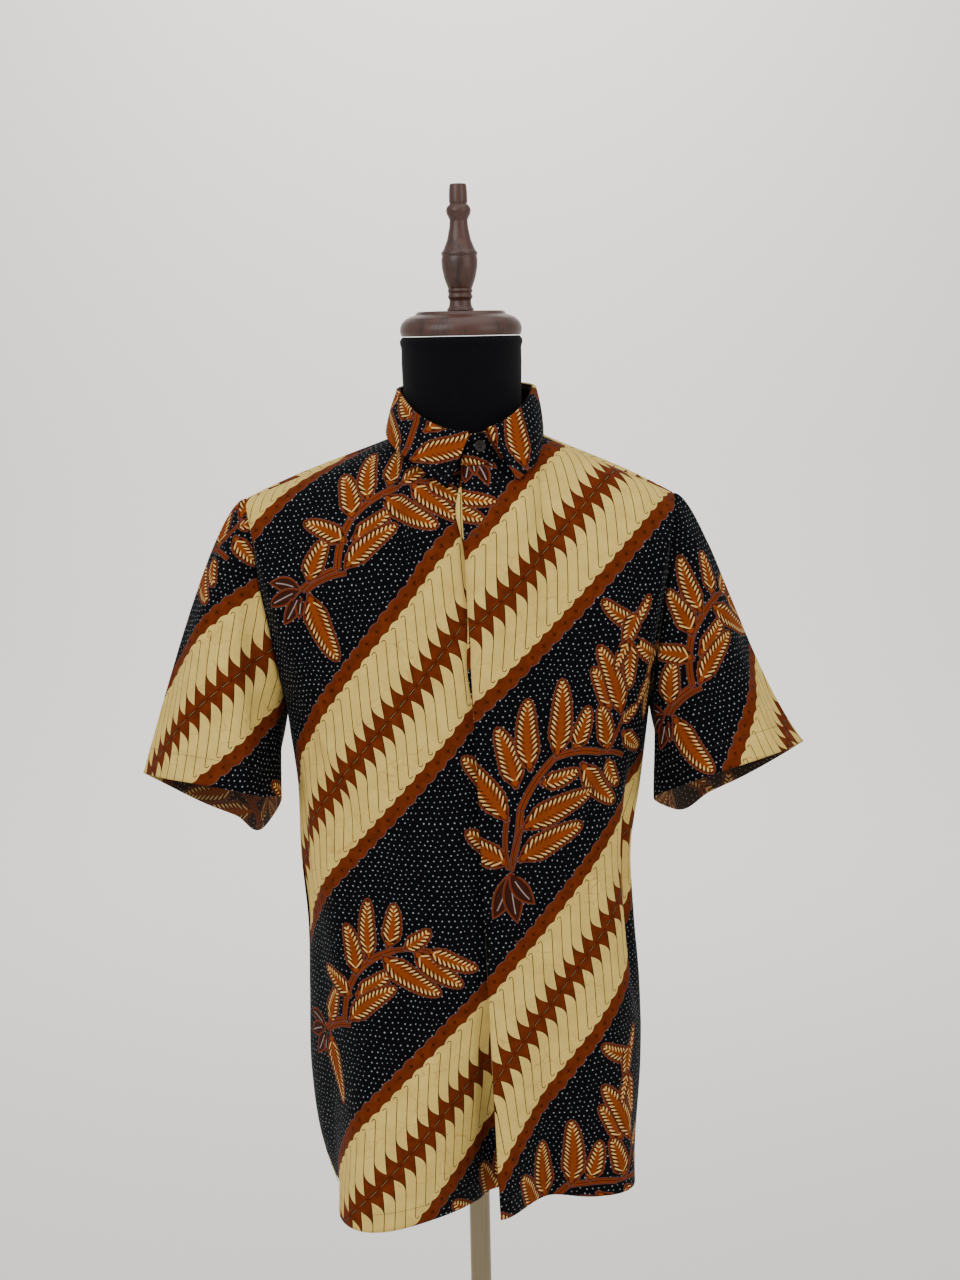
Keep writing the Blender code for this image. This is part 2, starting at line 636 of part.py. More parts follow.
def sleeve_grid(name, side, columns, rows):
    """Grid of a sleeve: rows from the armhole to the hem, columns round from the outer fold."""
    ways = np.arange(columns) / columns
    front = ways <= 0.5
    start = np.where(
        front[:, None],
        armhole(side, np.clip(1 - 2 * ways, 0, 1), False),
        armhole(side, np.clip(2 * ways - 1, 0, 1), True),
    )
    rim = smooth(column(SLEEVE_RIM[name], "way"), column(SLEEVE_RIM[name], "x", "y", "drop"), ways)
    rim[:, 2] = CAP_HEIGHT - rim[:, 2]
    flow = smooth(column(SLEEVE_FLOW[name], "way"), column(SLEEVE_FLOW[name], *Leave._fields[1:]), ways)
    flow[:, [0, 3]] *= side.sign
    leave, reach = flow[:, :3], flow[:, 3:]
    start[:, 0] += side.sign * SEAM
    grid = []
    for t in np.linspace(0, 1, rows + 1):
        grid.append(
            (1 + 2 * t) * (1 - t) ** 2 * start
            + t * (1 - t) ** 2 * leave
            + t * t * (3 - 2 * t) * rim
            + t * t * (t - 1) * reach
        )
    return np.array(grid)


def sleeves():
    """Two set-in sleeves, open tubes from the armhole to a hem that tips forward."""
    for name, side in (("left", LEFT), ("right", RIGHT)):
        cloth("sleeve_" + name, sleeve_grid(name, side, *SLEEVE_CELLS), closed=True, outward=side.sign)


def stand_height(angle):
    """Height of the collar stand at an angle in degrees."""
    turn = math.radians(angle)
    front = max(0.0, math.cos(turn)) ** 1.5 * (STAND_SIDE_HEIGHT - STAND_FRONT_HEIGHT)
    rear = max(0.0, -math.cos(turn)) ** 1.5 * (STAND_SIDE_HEIGHT - STAND_BACK_HEIGHT)
    return STAND_SIDE_HEIGHT - front - rear


def stand_point(angle, up, inset=0.0):
    """Point of the collar stand at an angle and a share of its height."""
    point = neck_point(angle, inset + STAND_TOP_IN * up)
    point[2] += SEAM + (stand_height(angle) - SEAM) * up
    return point


def collar_stand():
    """The band round the neck. Its upper end, with the button, lies over its lower one."""
    first = neck_angle(EDGE_TOP_X)
    last = 360 + neck_angle(EDGE_TOP_X + OVERLAP)
    grid = []
    for up in np.linspace(0, 1, STAND_ROWS + 1):
        row = []
        for angle in np.linspace(first, last, COLLAR_COLUMNS):
            under = float(eased((angle - 360 - first + STAND_LAP_FROM) / STAND_LAP_OVER))
            row.append(stand_point(angle, up, STAND_END_UNDER * under))
        grid.append(row)
    grid = np.array(grid)
    grid[:, 0] += (grid[:, 1] - grid[:, 0]) * np.array(STAND_CORNER)[:, None]
    cloth("collar_stand", grid)


def fall_grid(columns, rows):
    """Grid of the fall: rows from just inside the stand's top, over the roll, to the outer edge."""
    ways = np.linspace(0, 1, columns)
    table = smooth(column(FALL_EDGE, "way"), column(FALL_EDGE, "angle", "x", "y", "drop"), ways)
    grid = []
    tops = np.array([stand_point(angle, 1.0) for angle in table[:, 0]])
    outs = np.array([stand_point(angle, 1.0, -1.0) for angle in table[:, 0]]) - tops
    outs[:, 2] = 0
    outs /= np.linalg.norm(outs, axis=1)[:, None]
    lifts = np.array([0, 0, 1.0])
    hems = np.stack([table[:, 1], table[:, 2], CAP_HEIGHT - table[:, 3]], axis=1)
    for step in FALL_ROLL:
        grid.append(tops + outs * step.out + lifts * step.up)
    start = tops + outs * FALL_START.out + lifts * FALL_START.up
    for t in np.linspace(0, 1, rows + 1):
        bow = outs * FALL_BOW * math.sin(math.pi * t)
        grid.append(start + (hems - start) * t + bow)
    return np.array(grid)


def collar_fall():
    """The turned-down part of the collar, which ends in two points."""
    cloth("collar_fall", fall_grid(COLLAR_COLUMNS, FALL_ROWS))


def button():
    """The collar button, on the upper end of the stand."""
    up = (BUTTON_DROP - NECK_DROP_FRONT + STAND_FRONT_HEIGHT) / STAND_FRONT_HEIGHT
    seat = stand_point(neck_angle(BUTTON_X), 1 - up)
    mesh = bmesh.new()
    bmesh.ops.create_cone(
        mesh, cap_ends=True, segments=20, radius1=BUTTON_RADIUS, radius2=BUTTON_RADIUS, depth=BUTTON_THICKNESS
    )
    data = bpy.data.meshes.new("collar_button")
    mesh.to_mesh(data)
    mesh.free()
    piece = added("collar_button", data, "button horn")
    outward = Vector((seat[0] - NECK_CENTRE_X, seat[1], 0)).normalized()
    facing = (outward + Vector((0, 0, STAND_TOP_IN / STAND_FRONT_HEIGHT))).normalized()
    piece.rotation_euler = facing.to_track_quat("Z", "Y").to_euler()
    piece.location = Vector(seat) + facing * (BUTTON_THICKNESS / 2 + BUTTON_CLEAR)


def form_torso():
    """The limbless form: one smooth closed shape, flat underneath."""
    mesh = bmesh.new()
    rings = []
    for row in FORM:
        ring = []
        for k in range(FORM_TURNS):
            angle = 2 * math.pi * k / FORM_TURNS
            depth = row.front if math.cos(angle) > 0 else row.back
            ring.append(mesh.verts.new((
                row.side * power(math.sin(angle), 2 / row.roundness),
                -depth * power(math.cos(angle), 2 / row.roundness),
                CAP_HEIGHT - row.drop,
            )))
        rings.append(ring)
    for upper, lower in zip(rings, rings[1:]):
        for k in range(FORM_TURNS):
            n = (k + 1) % FORM_TURNS
            mesh.faces.new((upper[k], lower[k], lower[n], upper[n]))
    mesh.faces.new(rings[0])
    mesh.faces.new(rings[-1][::-1])
    data = bpy.data.meshes.new("form_torso")
    mesh.to_mesh(data)
    mesh.free()
    added("form_torso", data, "black jersey")


def stand_pole():
    """The pole between the base's socket and the form's underside, and the round base."""
    top = CAP_HEIGHT - FORM_DROP - TOUCH
    bottom = BASE_HEIGHT + SOCKET_HEIGHT + TOUCH
    turned("pole", ((0, top), (POLE_RADIUS, top), (POLE_RADIUS, bottom), (0, bottom)), "brushed steel", 0)
    slope_width, slope_height = SOCKET_FOOT
    turned(
        "base",
        (
            (0, BASE_HEIGHT + SOCKET_HEIGHT),
            (SOCKET_RADIUS - METAL_RIM, BASE_HEIGHT + SOCKET_HEIGHT),
            (SOCKET_RADIUS, BASE_HEIGHT + SOCKET_HEIGHT - METAL_RIM),
            (SOCKET_RADIUS, BASE_HEIGHT + slope_height),
            (SOCKET_RADIUS + slope_width, BASE_HEIGHT),
            (BASE_RADIUS - METAL_RIM, BASE_HEIGHT - BASE_FALL),
            (BASE_RADIUS, BASE_HEIGHT - BASE_FALL - METAL_RIM),
            (BASE_RADIUS, 0),
            (0, 0),
        ),
        "brushed steel",
        0,
    )


for old in list(bpy.data.objects):
    bpy.data.objects.remove(old)
PART = bpy.data.collections.new("Short-sleeve shirt on a dress form")
bpy.context.scene.collection.children.link(PART)

upper_front = fronts()
fly_strip(upper_front)
back()
sleeves()
collar_stand()
collar_fall()
button()
form_torso()
turned("neck_cap", CAP, "stained hardwood")
turned("finial", FINIAL, "stained hardwood")
stand_pole()
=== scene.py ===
"""Looks of a short-sleeve batik shirt on its dress form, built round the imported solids.

Metres, +Z up, the shirt's front towards -Y. Heights on the garment are given as a drop: the distance
below the underside of the wooden neck cap. Pattern sizes are in millimetres of flat cloth.
"""

import math
from collections import namedtuple

import bmesh
import bpy
import numpy as np
from mathutils import Matrix, Vector


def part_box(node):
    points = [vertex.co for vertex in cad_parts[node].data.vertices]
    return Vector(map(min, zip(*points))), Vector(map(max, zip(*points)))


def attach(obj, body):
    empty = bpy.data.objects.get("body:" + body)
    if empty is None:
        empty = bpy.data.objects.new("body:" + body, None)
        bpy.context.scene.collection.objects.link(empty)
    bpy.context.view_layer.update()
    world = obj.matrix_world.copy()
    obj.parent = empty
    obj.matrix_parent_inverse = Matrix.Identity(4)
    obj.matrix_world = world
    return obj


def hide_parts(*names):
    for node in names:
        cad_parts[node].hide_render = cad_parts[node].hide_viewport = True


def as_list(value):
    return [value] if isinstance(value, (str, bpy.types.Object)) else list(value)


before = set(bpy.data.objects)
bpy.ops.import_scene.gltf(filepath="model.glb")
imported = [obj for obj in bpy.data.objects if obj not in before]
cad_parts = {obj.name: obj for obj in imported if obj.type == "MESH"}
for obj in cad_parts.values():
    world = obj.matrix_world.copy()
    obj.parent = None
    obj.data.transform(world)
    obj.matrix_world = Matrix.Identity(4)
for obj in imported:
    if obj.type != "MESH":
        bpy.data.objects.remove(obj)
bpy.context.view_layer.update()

# Camera
# The photograph was taken from in front of the form's neck, looking a little down at the shirt. It is in
# portrait format, so the sensor's width belongs to the longer side.
CAMERA_PLACE = (0.0121, -1.83, 1.500)
CAMERA_DOWN = 9.1  # degrees below level
CAMERA_ROLL = -1.17  # degrees
LENS = 53.44  # millimetres
SENSOR = 36.0

lens = bpy.data.cameras.new("camera")
lens.lens = LENS
lens.sensor_width = SENSOR
camera = bpy.data.objects.new("camera", lens)
camera.matrix_world = (
    Matrix.Translation(CAMERA_PLACE)
    @ Matrix.Rotation(math.radians(90 - CAMERA_DOWN), 4, "X")
    @ Matrix.Rotation(math.radians(CAMERA_ROLL), 4, "Z")
)
bpy.context.scene.collection.objects.link(camera)
bpy.context.scene.camera = camera


# Floor and light
# A pale painted studio sweep: level floor, then a wide bend up into the wall behind the form. Matt
# emulsion paint, so it shows only a soft fall of light. Three large soft lamps and a pale sky light the
# form, and a fourth lamp lights the wall.
SWEEP = ((-5.5, 0.0), (3.5, 0.0), (4.2, 0.08), (4.65, 0.32), (4.9, 0.8), (5.0, 1.4), (5.0, 5.6))
SWEEP_HALF_WIDTH = 6.0
Lamp = namedtuple("Lamp", "name place aim width power")
LAMPS = (
    Lamp("window", (-1.9, -2.3, 2.7), (0.0, 0.0, 1.15), 2.2, 53.0),
    Lamp("fill", (2.3, -1.8, 1.9), (0.0, 0.0, 1.1), 1.8, 20.0),
    Lamp("ceiling", (0.3, -0.4, 3.3), (0.0, 0.2, 0.9), 2.6, 26.0),
    Lamp("backdrop", (0.0, 2.9, 3.7), (0.0, 5.0, 1.9), 2.8, 130.0),
)
SKY_STRENGTH = 0.70


def linear(colour, alpha=1.0):
    """Linear colour of an sRGB hex one."""
    parts = [int(colour[i : i + 2], 16) / 255 for i in (1, 3, 5)]
    return [p / 12.92 if p <= 0.04045 else ((p + 0.055) / 1.055) ** 2.4 for p in parts] + [alpha]


def add(tree, name, kind, inputs=(), **settings):
    """Adds a node. An input is a value, a hex colour or an earlier node's name.

    That name may end in ":" and the number or name of one of its outputs.
    """
    made = tree.nodes.new(kind if kind.startswith("Node") else "ShaderNode" + kind)
    made.name = name
    for setting, value in settings.items():
        setattr(made, setting, value)
    pairs = inputs.items() if isinstance(inputs, dict) else enumerate(inputs)
    for socket, value in pairs:
        if isinstance(value, str) and value.startswith("#"):
            made.inputs[socket].default_value = linear(value)
        elif isinstance(value, str):
            source, _, output = value.partition(":")
            outputs = tree.nodes[source].outputs
            tree.links.new(outputs[int(output) if output.isdigit() else output or 0], made.inputs[socket])
        else:
            made.inputs[socket].default_value = value
    return made


def new_material(name):
    """An empty material, with the node tree to fill."""
    made = bpy.data.materials.new(name)
    made.use_nodes = True
    made.node_tree.nodes.clear()
    return made, made.node_tree


def placed(name, mesh, *finishes, smooth_below=50):
    """An object of a mesh with its materials, shaded smooth but for its sharp corners."""
    if isinstance(mesh, bmesh.types.BMesh):
        data = bpy.data.meshes.new(name)
        mesh.to_mesh(data)
        mesh.free()
    else:
        data = mesh
    for finish in finishes:
        data.materials.append(finish)
    data.shade_smooth()
    data.set_sharp_from_angle(angle=math.radians(smooth_below))
    made = bpy.data.objects.new(name, data)
    bpy.context.scene.collection.objects.link(made)
    return made


# Emulsion paint: a matt surface, an off-white that is slightly warm
paint, tree = new_material("emulsion paint")
add(tree, "paint", "BsdfPrincipled", {"Base Color": "#f6f3ee", "Roughness": 0.9})
add(tree, "out", "OutputMaterial", {"Surface": "paint"})

mesh = bmesh.new()
rows = [[mesh.verts.new((x, y, z)) for x in (-SWEEP_HALF_WIDTH, SWEEP_HALF_WIDTH)] for y, z in SWEEP]
for (a, b), (c, d) in zip(rows, rows[1:]):
    mesh.faces.new((a, b, d, c))
floor = placed("studio_floor", mesh, paint)
bend = floor.modifiers.new("bend", "SUBSURF")
bend.levels = bend.render_levels = 3

world = bpy.data.worlds.new("pale sky")
world.use_nodes = True
world.node_tree.nodes["Background"].inputs["Color"].default_value = linear("#f1f2f4")
world.node_tree.nodes["Background"].inputs["Strength"].default_value = SKY_STRENGTH
bpy.context.scene.world = world
for lamp in LAMPS:
    light = bpy.data.lights.new(lamp.name, "AREA")
    light.size = lamp.width
    light.energy = lamp.power
    holder = bpy.data.objects.new(lamp.name, light)
    holder.location = lamp.place
    holder.visible_camera = False
    aim = Vector(lamp.aim) - Vector(lamp.place)
    holder.rotation_euler = aim.to_track_quat("-Z", "Y").to_euler()
    bpy.context.scene.collection.objects.link(holder)


# Pole and base
# A round steel plate with a welded socket, and a steel tube that stands in it and carries the form.
# Brushed steel with a satin lacquer; the tube slides in the socket and is held there.
POLE_SIDES = 96
POLE_ROUNDING = 0.0006
BASE_ROUNDING = 0.0012
PLATE_THICKNESS = 0.008
PLATE_FALL = 0.001  # from the weld out to the rim
SOCKET_RADIUS = 0.019
WELD = 0.005


def dress(piece, slot, *nodes):
    """The piece moves with the part's one body and stands for its solids; the slot is not used."""
    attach(piece, "root")
    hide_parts(*nodes)


def skin(mesh, rings):
    """Faces between each ring of points and the next. A ring may be one point, listed again and again."""
    for upper, lower in zip(rings, rings[1:]):
        for k in range(len(upper)):
            mesh.faces.new(list(dict.fromkeys([upper[k - 1], lower[k - 1], lower[k], upper[k]])))


def lathe(name, profile, finish, sides=POLE_SIDES, smooth_below=35):
    """A turned piece: a profile of (radius, height), spun round the form's upright axis."""
    mesh = bmesh.new()
    rings = []
    for radius, height in profile:
        if radius == 0:
            rings.append([mesh.verts.new((0, 0, height))] * sides)
            continue
        turns = [2 * math.pi * k / sides for k in range(sides)]
        rings.append([mesh.verts.new((radius * math.cos(a), radius * math.sin(a), height)) for a in turns])
    skin(mesh, rings)
    bmesh.ops.recalc_face_normals(mesh, faces=mesh.faces)
    return placed(name, mesh, finish, smooth_below=smooth_below)


def arc(start, corner, end, t):
    """Place at a share t of a short curve, bent towards a corner."""
    return start * (1 - t) ** 2 + corner * 2 * t * (1 - t) + end * t * t


def rounded(corners, radius, steps=4):
    """A profile with each inner corner turned into a short curve, over less than half of either side."""
    profile = [Vector(corners[0])]
    for before, corner, after in zip(corners, corners[1:], corners[2:]):
        before, corner, after = Vector(before), Vector(corner), Vector(after)
        reach = min(radius, (before - corner).length * 0.45, (after - corner).length * 0.45)
        start = corner + (before - corner).normalized() * reach
        end = corner + (after - corner).normalized() * reach
        profile += [arc(start, corner, end, step / steps) for step in range(steps + 1)]
    profile.append(Vector(corners[-1]))
    return [tuple(point) for point in profile]


# Brushed steel: fine lines along the tube, a soft streaked glint, a warm grey
steel, tree = new_material("brushed steel")
add(tree, "place", "TexCoord")
add(tree, "along", "Mapping", {"Vector": "place:Object", "Scale": (1.0, 1.0, 0.02)})
add(tree, "lines", "TexNoise", {"Vector": "along", "Scale": 900.0, "Detail": 3.0, "Roughness": 0.7})
add(tree, "tone", "Mix", {0: "lines:Fac", 6: "#6c604d", 7: "#93866d"}, data_type="RGBA")
add(tree, "gloss", "MapRange", {"Value": "lines:Fac", "To Min": 0.24, "To Max": 0.42})
add(tree, "relief", "Bump", {"Height": "lines:Fac", "Strength": 0.12, "Distance": 0.0002})
add(
    tree,
    "metal",
    "BsdfPrincipled",
    {"Base Color": "tone:2", "Roughness": "gloss", "Normal": "relief", "Metallic": 1.0},
)
add(tree, "out", "OutputMaterial", {"Surface": "metal"})

pole_low, pole_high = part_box("pole")
pole_profile = [(0, pole_high.z), (pole_high.x, pole_high.z), (pole_high.x, pole_low.z), (0, pole_low.z)]
pole = lathe("pole_tube", rounded(pole_profile, POLE_ROUNDING), steel)
dress(pole, "steel", "pole")

base_low, base_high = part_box("base")
base_profile = [
    (0, base_high.z),
    (SOCKET_RADIUS, base_high.z),
    (SOCKET_RADIUS, PLATE_THICKNESS + WELD),
    (SOCKET_RADIUS + WELD, PLATE_THICKNESS),
    (base_high.x, PLATE_THICKNESS - PLATE_FALL),
    (base_high.x, base_low.z),
    (0, base_low.z),
]
base = lathe("base_plate", rounded(base_profile, BASE_ROUNDING), steel)
dress(base, "steel", "base")


# Torso of the form
# A padded limbless torso with a bare neck, covered in one stretched tube of knitted cotton jersey,
# tucked in at the top under the wooden cap and drawn together underneath.
CAP_HEIGHT = 1.500
Form = namedtuple("Form", "drop side front back roundness")
FORM = (
    Form(0.0003, 0.0555, 0.0555, 0.0555, 2.0),
    Form(0.0010, 0.0564, 0.0564, 0.0564, 2.0),
    Form(0.0120, 0.0570, 0.0570, 0.0570, 2.0),
    Form(0.0600, 0.0565, 0.0570, 0.0575, 2.0),
    Form(0.0880, 0.0575, 0.0580, 0.0570, 2.0),
    Form(0.0980, 0.0625, 0.0590, 0.0575, 1.8),
    Form(0.1054, 0.0850, 0.0600, 0.0585, 1.5),
    Form(0.1132, 0.1090, 0.0640, 0.0610, 1.5),
    Form(0.1213, 0.1290, 0.0680, 0.0640, 1.5),
    Form(0.1289, 0.1445, 0.0720, 0.0680, 1.5),
    Form(0.1400, 0.1570, 0.0780, 0.0730, 1.6),
    Form(0.1580, 0.1640, 0.0840, 0.0790, 1.8),
    Form(0.1760, 0.1670, 0.0880, 0.0820, 2.0),
    Form(0.2100, 0.1690, 0.0950, 0.0870, 2.2),
    Form(0.2700, 0.1650, 0.1050, 0.0960, 2.3),
    Form(0.3400, 0.1560, 0.1080, 0.1030, 2.3),
    Form(0.4400, 0.1420, 0.1040, 0.0980, 2.3),
    Form(0.5200, 0.1330, 0.0980, 0.0900, 2.3),
    Form(0.6000, 0.1360, 0.0920, 0.0920, 2.3),
    Form(0.6800, 0.1400, 0.0850, 0.0950, 2.3),
    Form(0.6970, 0.1385, 0.0830, 0.0935, 2.3),
    Form(0.7000, 0.1340, 0.0790, 0.0900, 2.3),
)
FORM_TURNS = 144
FORM_STEPS = 4  # rings for each row of the table
NECK_RADIUS = 57  # millimetres
JERSEY_RIB = 1.4  # millimetres between two ribs of the knit
RIBS_ROUND = round(2 * math.pi * NECK_RADIUS / JERSEY_RIB)


def column(table, *names):
    """One or more named columns of a table, as an array."""
    values = np.array([[getattr(row, name) for name in names] for row in table], float)
    return values[:, 0] if len(names) == 1 else values


def curve(t, start, leave, end, arrive):
    """Place at a share t of a curve that leaves its start and arrives at its end in given directions."""
    return (
        (1 + 2 * t) * (1 - t) ** 2 * start
        + t * (1 - t) ** 2 * leave
        + t * t * (3 - 2 * t) * end
        + t * t * (t - 1) * arrive
    )


def smooth(xs, ys, at):
    """Values at the places asked, on a smooth curve through the given ones."""
    xs = np.asarray(xs, float)
    ys = np.asarray(ys, float)
    at = np.clip(np.asarray(at, float), xs[0], xs[-1])
    slopes = np.gradient(ys, xs, axis=0)
    low = np.clip(np.searchsorted(xs, at, side="right") - 1, 0, len(xs) - 2)
    step = xs[low + 1] - xs[low]
    t = (at - xs[low]) / step
    if ys.ndim > 1:
        t, step = t[..., None], step[..., None]
    return curve(t, ys[low], step * slopes[low], ys[low + 1], step * slopes[low + 1])


def power(value, exponent):
    """A power that keeps the value's sign."""
    return math.copysign(abs(value) ** exponent, value)


# Black knitted jersey: fine upright ribs, no gloss but a faint pale fuzz at a low angle
jersey, tree = new_material("black jersey")
add(tree, "place", "TexCoord")
add(tree, "axes", "SeparateXYZ", ["place:Object"])
add(tree, "turn", "Math", ["axes:0", "axes:1"], operation="ARCTAN2")
add(tree, "ribs", "Math", ["turn", RIBS_ROUND], operation="MULTIPLY")
add(tree, "rib wave", "Math", ["ribs"], operation="SINE")
add(tree, "rows", "Math", ["axes:2", 2 * math.pi * 1000 / JERSEY_RIB], operation="MULTIPLY")
add(tree, "row wave", "Math", ["rows"], operation="SINE")
add(tree, "knit", "Math", ["rib wave", 0.35, "row wave"], operation="MULTIPLY_ADD")
add(tree, "fluff", "TexNoise", {"Vector": "place:Object", "Scale": 260.0, "Detail": 4.0})
add(tree, "height", "Math", ["knit", 0.12, "fluff:Fac"], operation="MULTIPLY_ADD")
add(tree, "relief", "Bump", {"Height": "height", "Strength": 0.35, "Distance": 0.0004})
add(tree, "tone", "Mix", {0: "fluff:Fac", 6: "#030307", 7: "#09090d"}, data_type="RGBA")
add(
    tree,
    "cloth",
    "BsdfPrincipled",
    {
        "Base Color": "tone:2",
        "Roughness": 0.95,
        "Normal": "relief",
        "Sheen Weight": 0.04,
        "Sheen Roughness": 0.5,
        "Specular IOR Level": 0.1,
    },
)
add(tree, "out", "OutputMaterial", {"Surface": "cloth"})

mesh = bmesh.new()
drops = column(FORM, "drop")
shares = np.arange(FORM_STEPS) / FORM_STEPS
levels = np.append(drops[:-1, None] + np.diff(drops)[:, None] * shares, drops[-1])
sizes = smooth(drops, column(FORM, "side", "front", "back", "roundness"), levels)
rings = []
for drop, (side, front, rear, roundness) in zip(levels, sizes):
    ring = []
    for k in range(FORM_TURNS):
        angle = 2 * math.pi * k / FORM_TURNS
        depth = front if math.cos(angle) > 0 else rear
        x = side * power(math.sin(angle), 2 / roundness)
        y = -depth * power(math.cos(angle), 2 / roundness)
        ring.append(mesh.verts.new((x, y, CAP_HEIGHT - drop)))
    rings.append(ring)
skin(mesh, rings)
mesh.faces.new(rings[0])
mesh.faces.new(rings[-1][::-1])
bmesh.ops.recalc_face_normals(mesh, faces=mesh.faces)
torso = placed("torso_jersey", mesh, jersey)
dress(torso, "jersey", "form_torso")


# Neck cap and finial
# A hardwood disc with a moulded rim closes the neck, and a turned handle is screwed into it: both of
# rubberwood, turned on a lathe, stained dark brown and varnished.
Cut = namedtuple("Cut", "radius height")
CAP = (
    Cut(0.0000, 0.0232), Cut(0.0410, 0.0232), Cut(0.0422, 0.0218), Cut(0.0436, 0.0200),
    Cut(0.0470, 0.0190), Cut(0.0520, 0.0168), Cut(0.0556, 0.0134), Cut(0.0574, 0.0100),
    Cut(0.0580, 0.0066), Cut(0.0577, 0.0032), Cut(0.0566, 0.0004), Cut(0.0000, 0.0003),
)
FINIAL = (
    Cut(0.0000, 0.1415), Cut(0.0074, 0.1413), Cut(0.0080, 0.1400), Cut(0.0085, 0.1340),
    Cut(0.0087, 0.1245), Cut(0.0079, 0.1228), Cut(0.0106, 0.1206), Cut(0.0119, 0.1168),
    Cut(0.0109, 0.1128), Cut(0.0083, 0.1080), Cut(0.0090, 0.1010), Cut(0.0112, 0.0900),
    Cut(0.0150, 0.0805), Cut(0.0171, 0.0780), Cut(0.0173, 0.0764), Cut(0.0163, 0.0746),
    Cut(0.0170, 0.0724), Cut(0.0171, 0.0700), Cut(0.0168, 0.0640), Cut(0.0148, 0.0540),
    Cut(0.0118, 0.0456), Cut(0.0110, 0.0442), Cut(0.0121, 0.0424), Cut(0.0110, 0.0404),
    Cut(0.0110, 0.0388), Cut(0.0120, 0.0366), Cut(0.0108, 0.0346), Cut(0.0101, 0.0330),
    Cut(0.0107, 0.0280), Cut(0.0129, 0.0246), Cut(0.0129, 0.0238), Cut(0.0000, 0.0236),
)
GRAIN = 2.6  # millimetres between two lines of grain
FIGURE = 6 * GRAIN  # between two bands of the wood's broad figure
TURNED_ROUNDING = 0.0016

# Stained rubberwood: long brown grain lines and short pores, painted shade that darkens the turned
# grooves, under a thin varnish that gives soft glints
wood, tree = new_material("stained rubberwood")
add(tree, "place", "TexCoord")
add(tree, "long", "Mapping", {"Vector": "place:Object", "Scale": (1.0, 1.0, 0.12)})
add(tree, "figure", "TexNoise", {"Vector": "long", "Scale": 1000 / FIGURE, "Detail": 4.0, "Distortion": 0.6})
add(tree, "grain", "TexNoise", {"Vector": "long", "Scale": 1000 / GRAIN, "Detail": 5.0, "Roughness": 0.65})
add(tree, "both", "Math", ["figure:Fac", 0.9, "grain:Fac"], operation="MULTIPLY_ADD")
add(tree, "tone", "ValToRGB", {"Fac": "both"})
ramp = tree.nodes["tone"].color_ramp
ramp.elements[0].position, ramp.elements[0].color = 0.62, linear("#1a0b07")
ramp.elements[1].position, ramp.elements[1].color = 0.94, linear("#452415")
ramp.elements.new(0.78).color = linear("#2f160d")
add(tree, "hollows", "NewGeometry")
# painted shade: the colour darkens to near-black where the surface is hollow, in the turned grooves
add(tree, "groove", "MapRange", {"Value": "hollows:Pointiness", "From Min": 0.42, "From Max": 0.5})
add(tree, "stain", "Mix", {0: "groove", 6: "#130a07", 7: "tone"}, data_type="RGBA")
add(tree, "relief", "Bump", {"Height": "grain:Fac", "Strength": 0.15, "Distance": 0.0003})
add(tree, "gloss", "MapRange", {"Value": "grain:Fac", "To Min": 0.36, "To Max": 0.50})
add(
    tree,
    "timber",
    "BsdfPrincipled",
    {
        "Base Color": "stain:2",
        "Roughness": "gloss",
        "Normal": "relief",
        "Coat Weight": 0.14,
        "Coat Roughness": 0.24,
    },
)
add(tree, "out", "OutputMaterial", {"Surface": "timber"})

for name, node, cuts in (("cap_turned", "neck_cap", CAP), ("finial_turned", "finial", FINIAL)):
    profile = rounded([(cut.radius, CAP_HEIGHT + cut.height) for cut in cuts], TURNED_ROUNDING)
    dress(lathe(name, profile, wood), "hardwood", node)


# Fronts of the shirt
# Two fronts cut from printed batik cotton, a light plain weave. Their edges are turned in at the opening
# and hemmed below; the wearer's left front, on the right here, lies over the other and covers its buttons.
CHEST_DROP = 0.370  # the panels spread to neck, shoulder and armhole above this
HEM_DROP = 0.836
CLOTH = 0.0007
ROUNDNESS = 2.4
Section = namedtuple("Section", "drop left right front back seam_left seam_right")
BODY = (
    Section(0.370, 0.1755, 0.1745, 0.119, 0.120, 0.000, 0.000),
    Section(0.430, 0.1700, 0.1670, 0.119, 0.121, -0.003, 0.002),
    Section(0.500, 0.1690, 0.1575, 0.117, 0.119, -0.008, 0.004),
    Section(0.570, 0.1640, 0.1600, 0.114, 0.116, -0.012, 0.007),
    Section(0.640, 0.1650, 0.1650, 0.112, 0.113, -0.017, 0.010),
    Section(0.720, 0.1660, 0.1650, 0.110, 0.111, -0.022, 0.014),
    Section(0.800, 0.1560, 0.1590, 0.107, 0.108, -0.028, 0.018),
    Section(HEM_DROP, 0.1450, 0.1570, 0.104, 0.106, -0.032, 0.020),
)
NECK_CENTRE_X = 0.004
NECK_HALF_WIDTH = 0.0685
NECK_FRONT = 0.082
NECK_BACK = 0.066
NECK_DROP_FRONT = 0.118
NECK_DROP_SIDE = 0.093
NECK_DROP_BACK = 0.084
SEAM_ANGLE = 84.0  # where the shoulder seam meets the neckline: 0 is the front
Arm = namedtuple("Arm", "way out front back drop")
ARMHOLE = (
    Arm(0.00, 0.0000, 0.000, 0.000, 1.00),
    Arm(0.22, 0.0020, 0.042, 0.046, 0.80),
    Arm(0.45, 0.0090, 0.056, 0.062, 0.56),
    Arm(0.70, 0.0190, 0.048, 0.054, 0.30),
    Arm(0.88, 0.0250, 0.026, 0.028, 0.09),
    Arm(1.00, 0.0290, 0.004, -0.004, 0.00),
)
UNDERARM_DROP = 0.360
Side = namedtuple("Side", "sign underarm tip tip_drop")
LEFT = Side(-1, 0.1770, 0.2085, 0.150)
RIGHT = Side(1, 0.1760, 0.2005, 0.153)
EDGE_TOP_X = -0.002
EDGE_HEM_X = 0.020
OVERLAP = 0.028
UNDER = 0.0054
DIP_START, DIP_WIDTH = 0.022, 0.020  # where the under front begins to dip, before the opening's edge
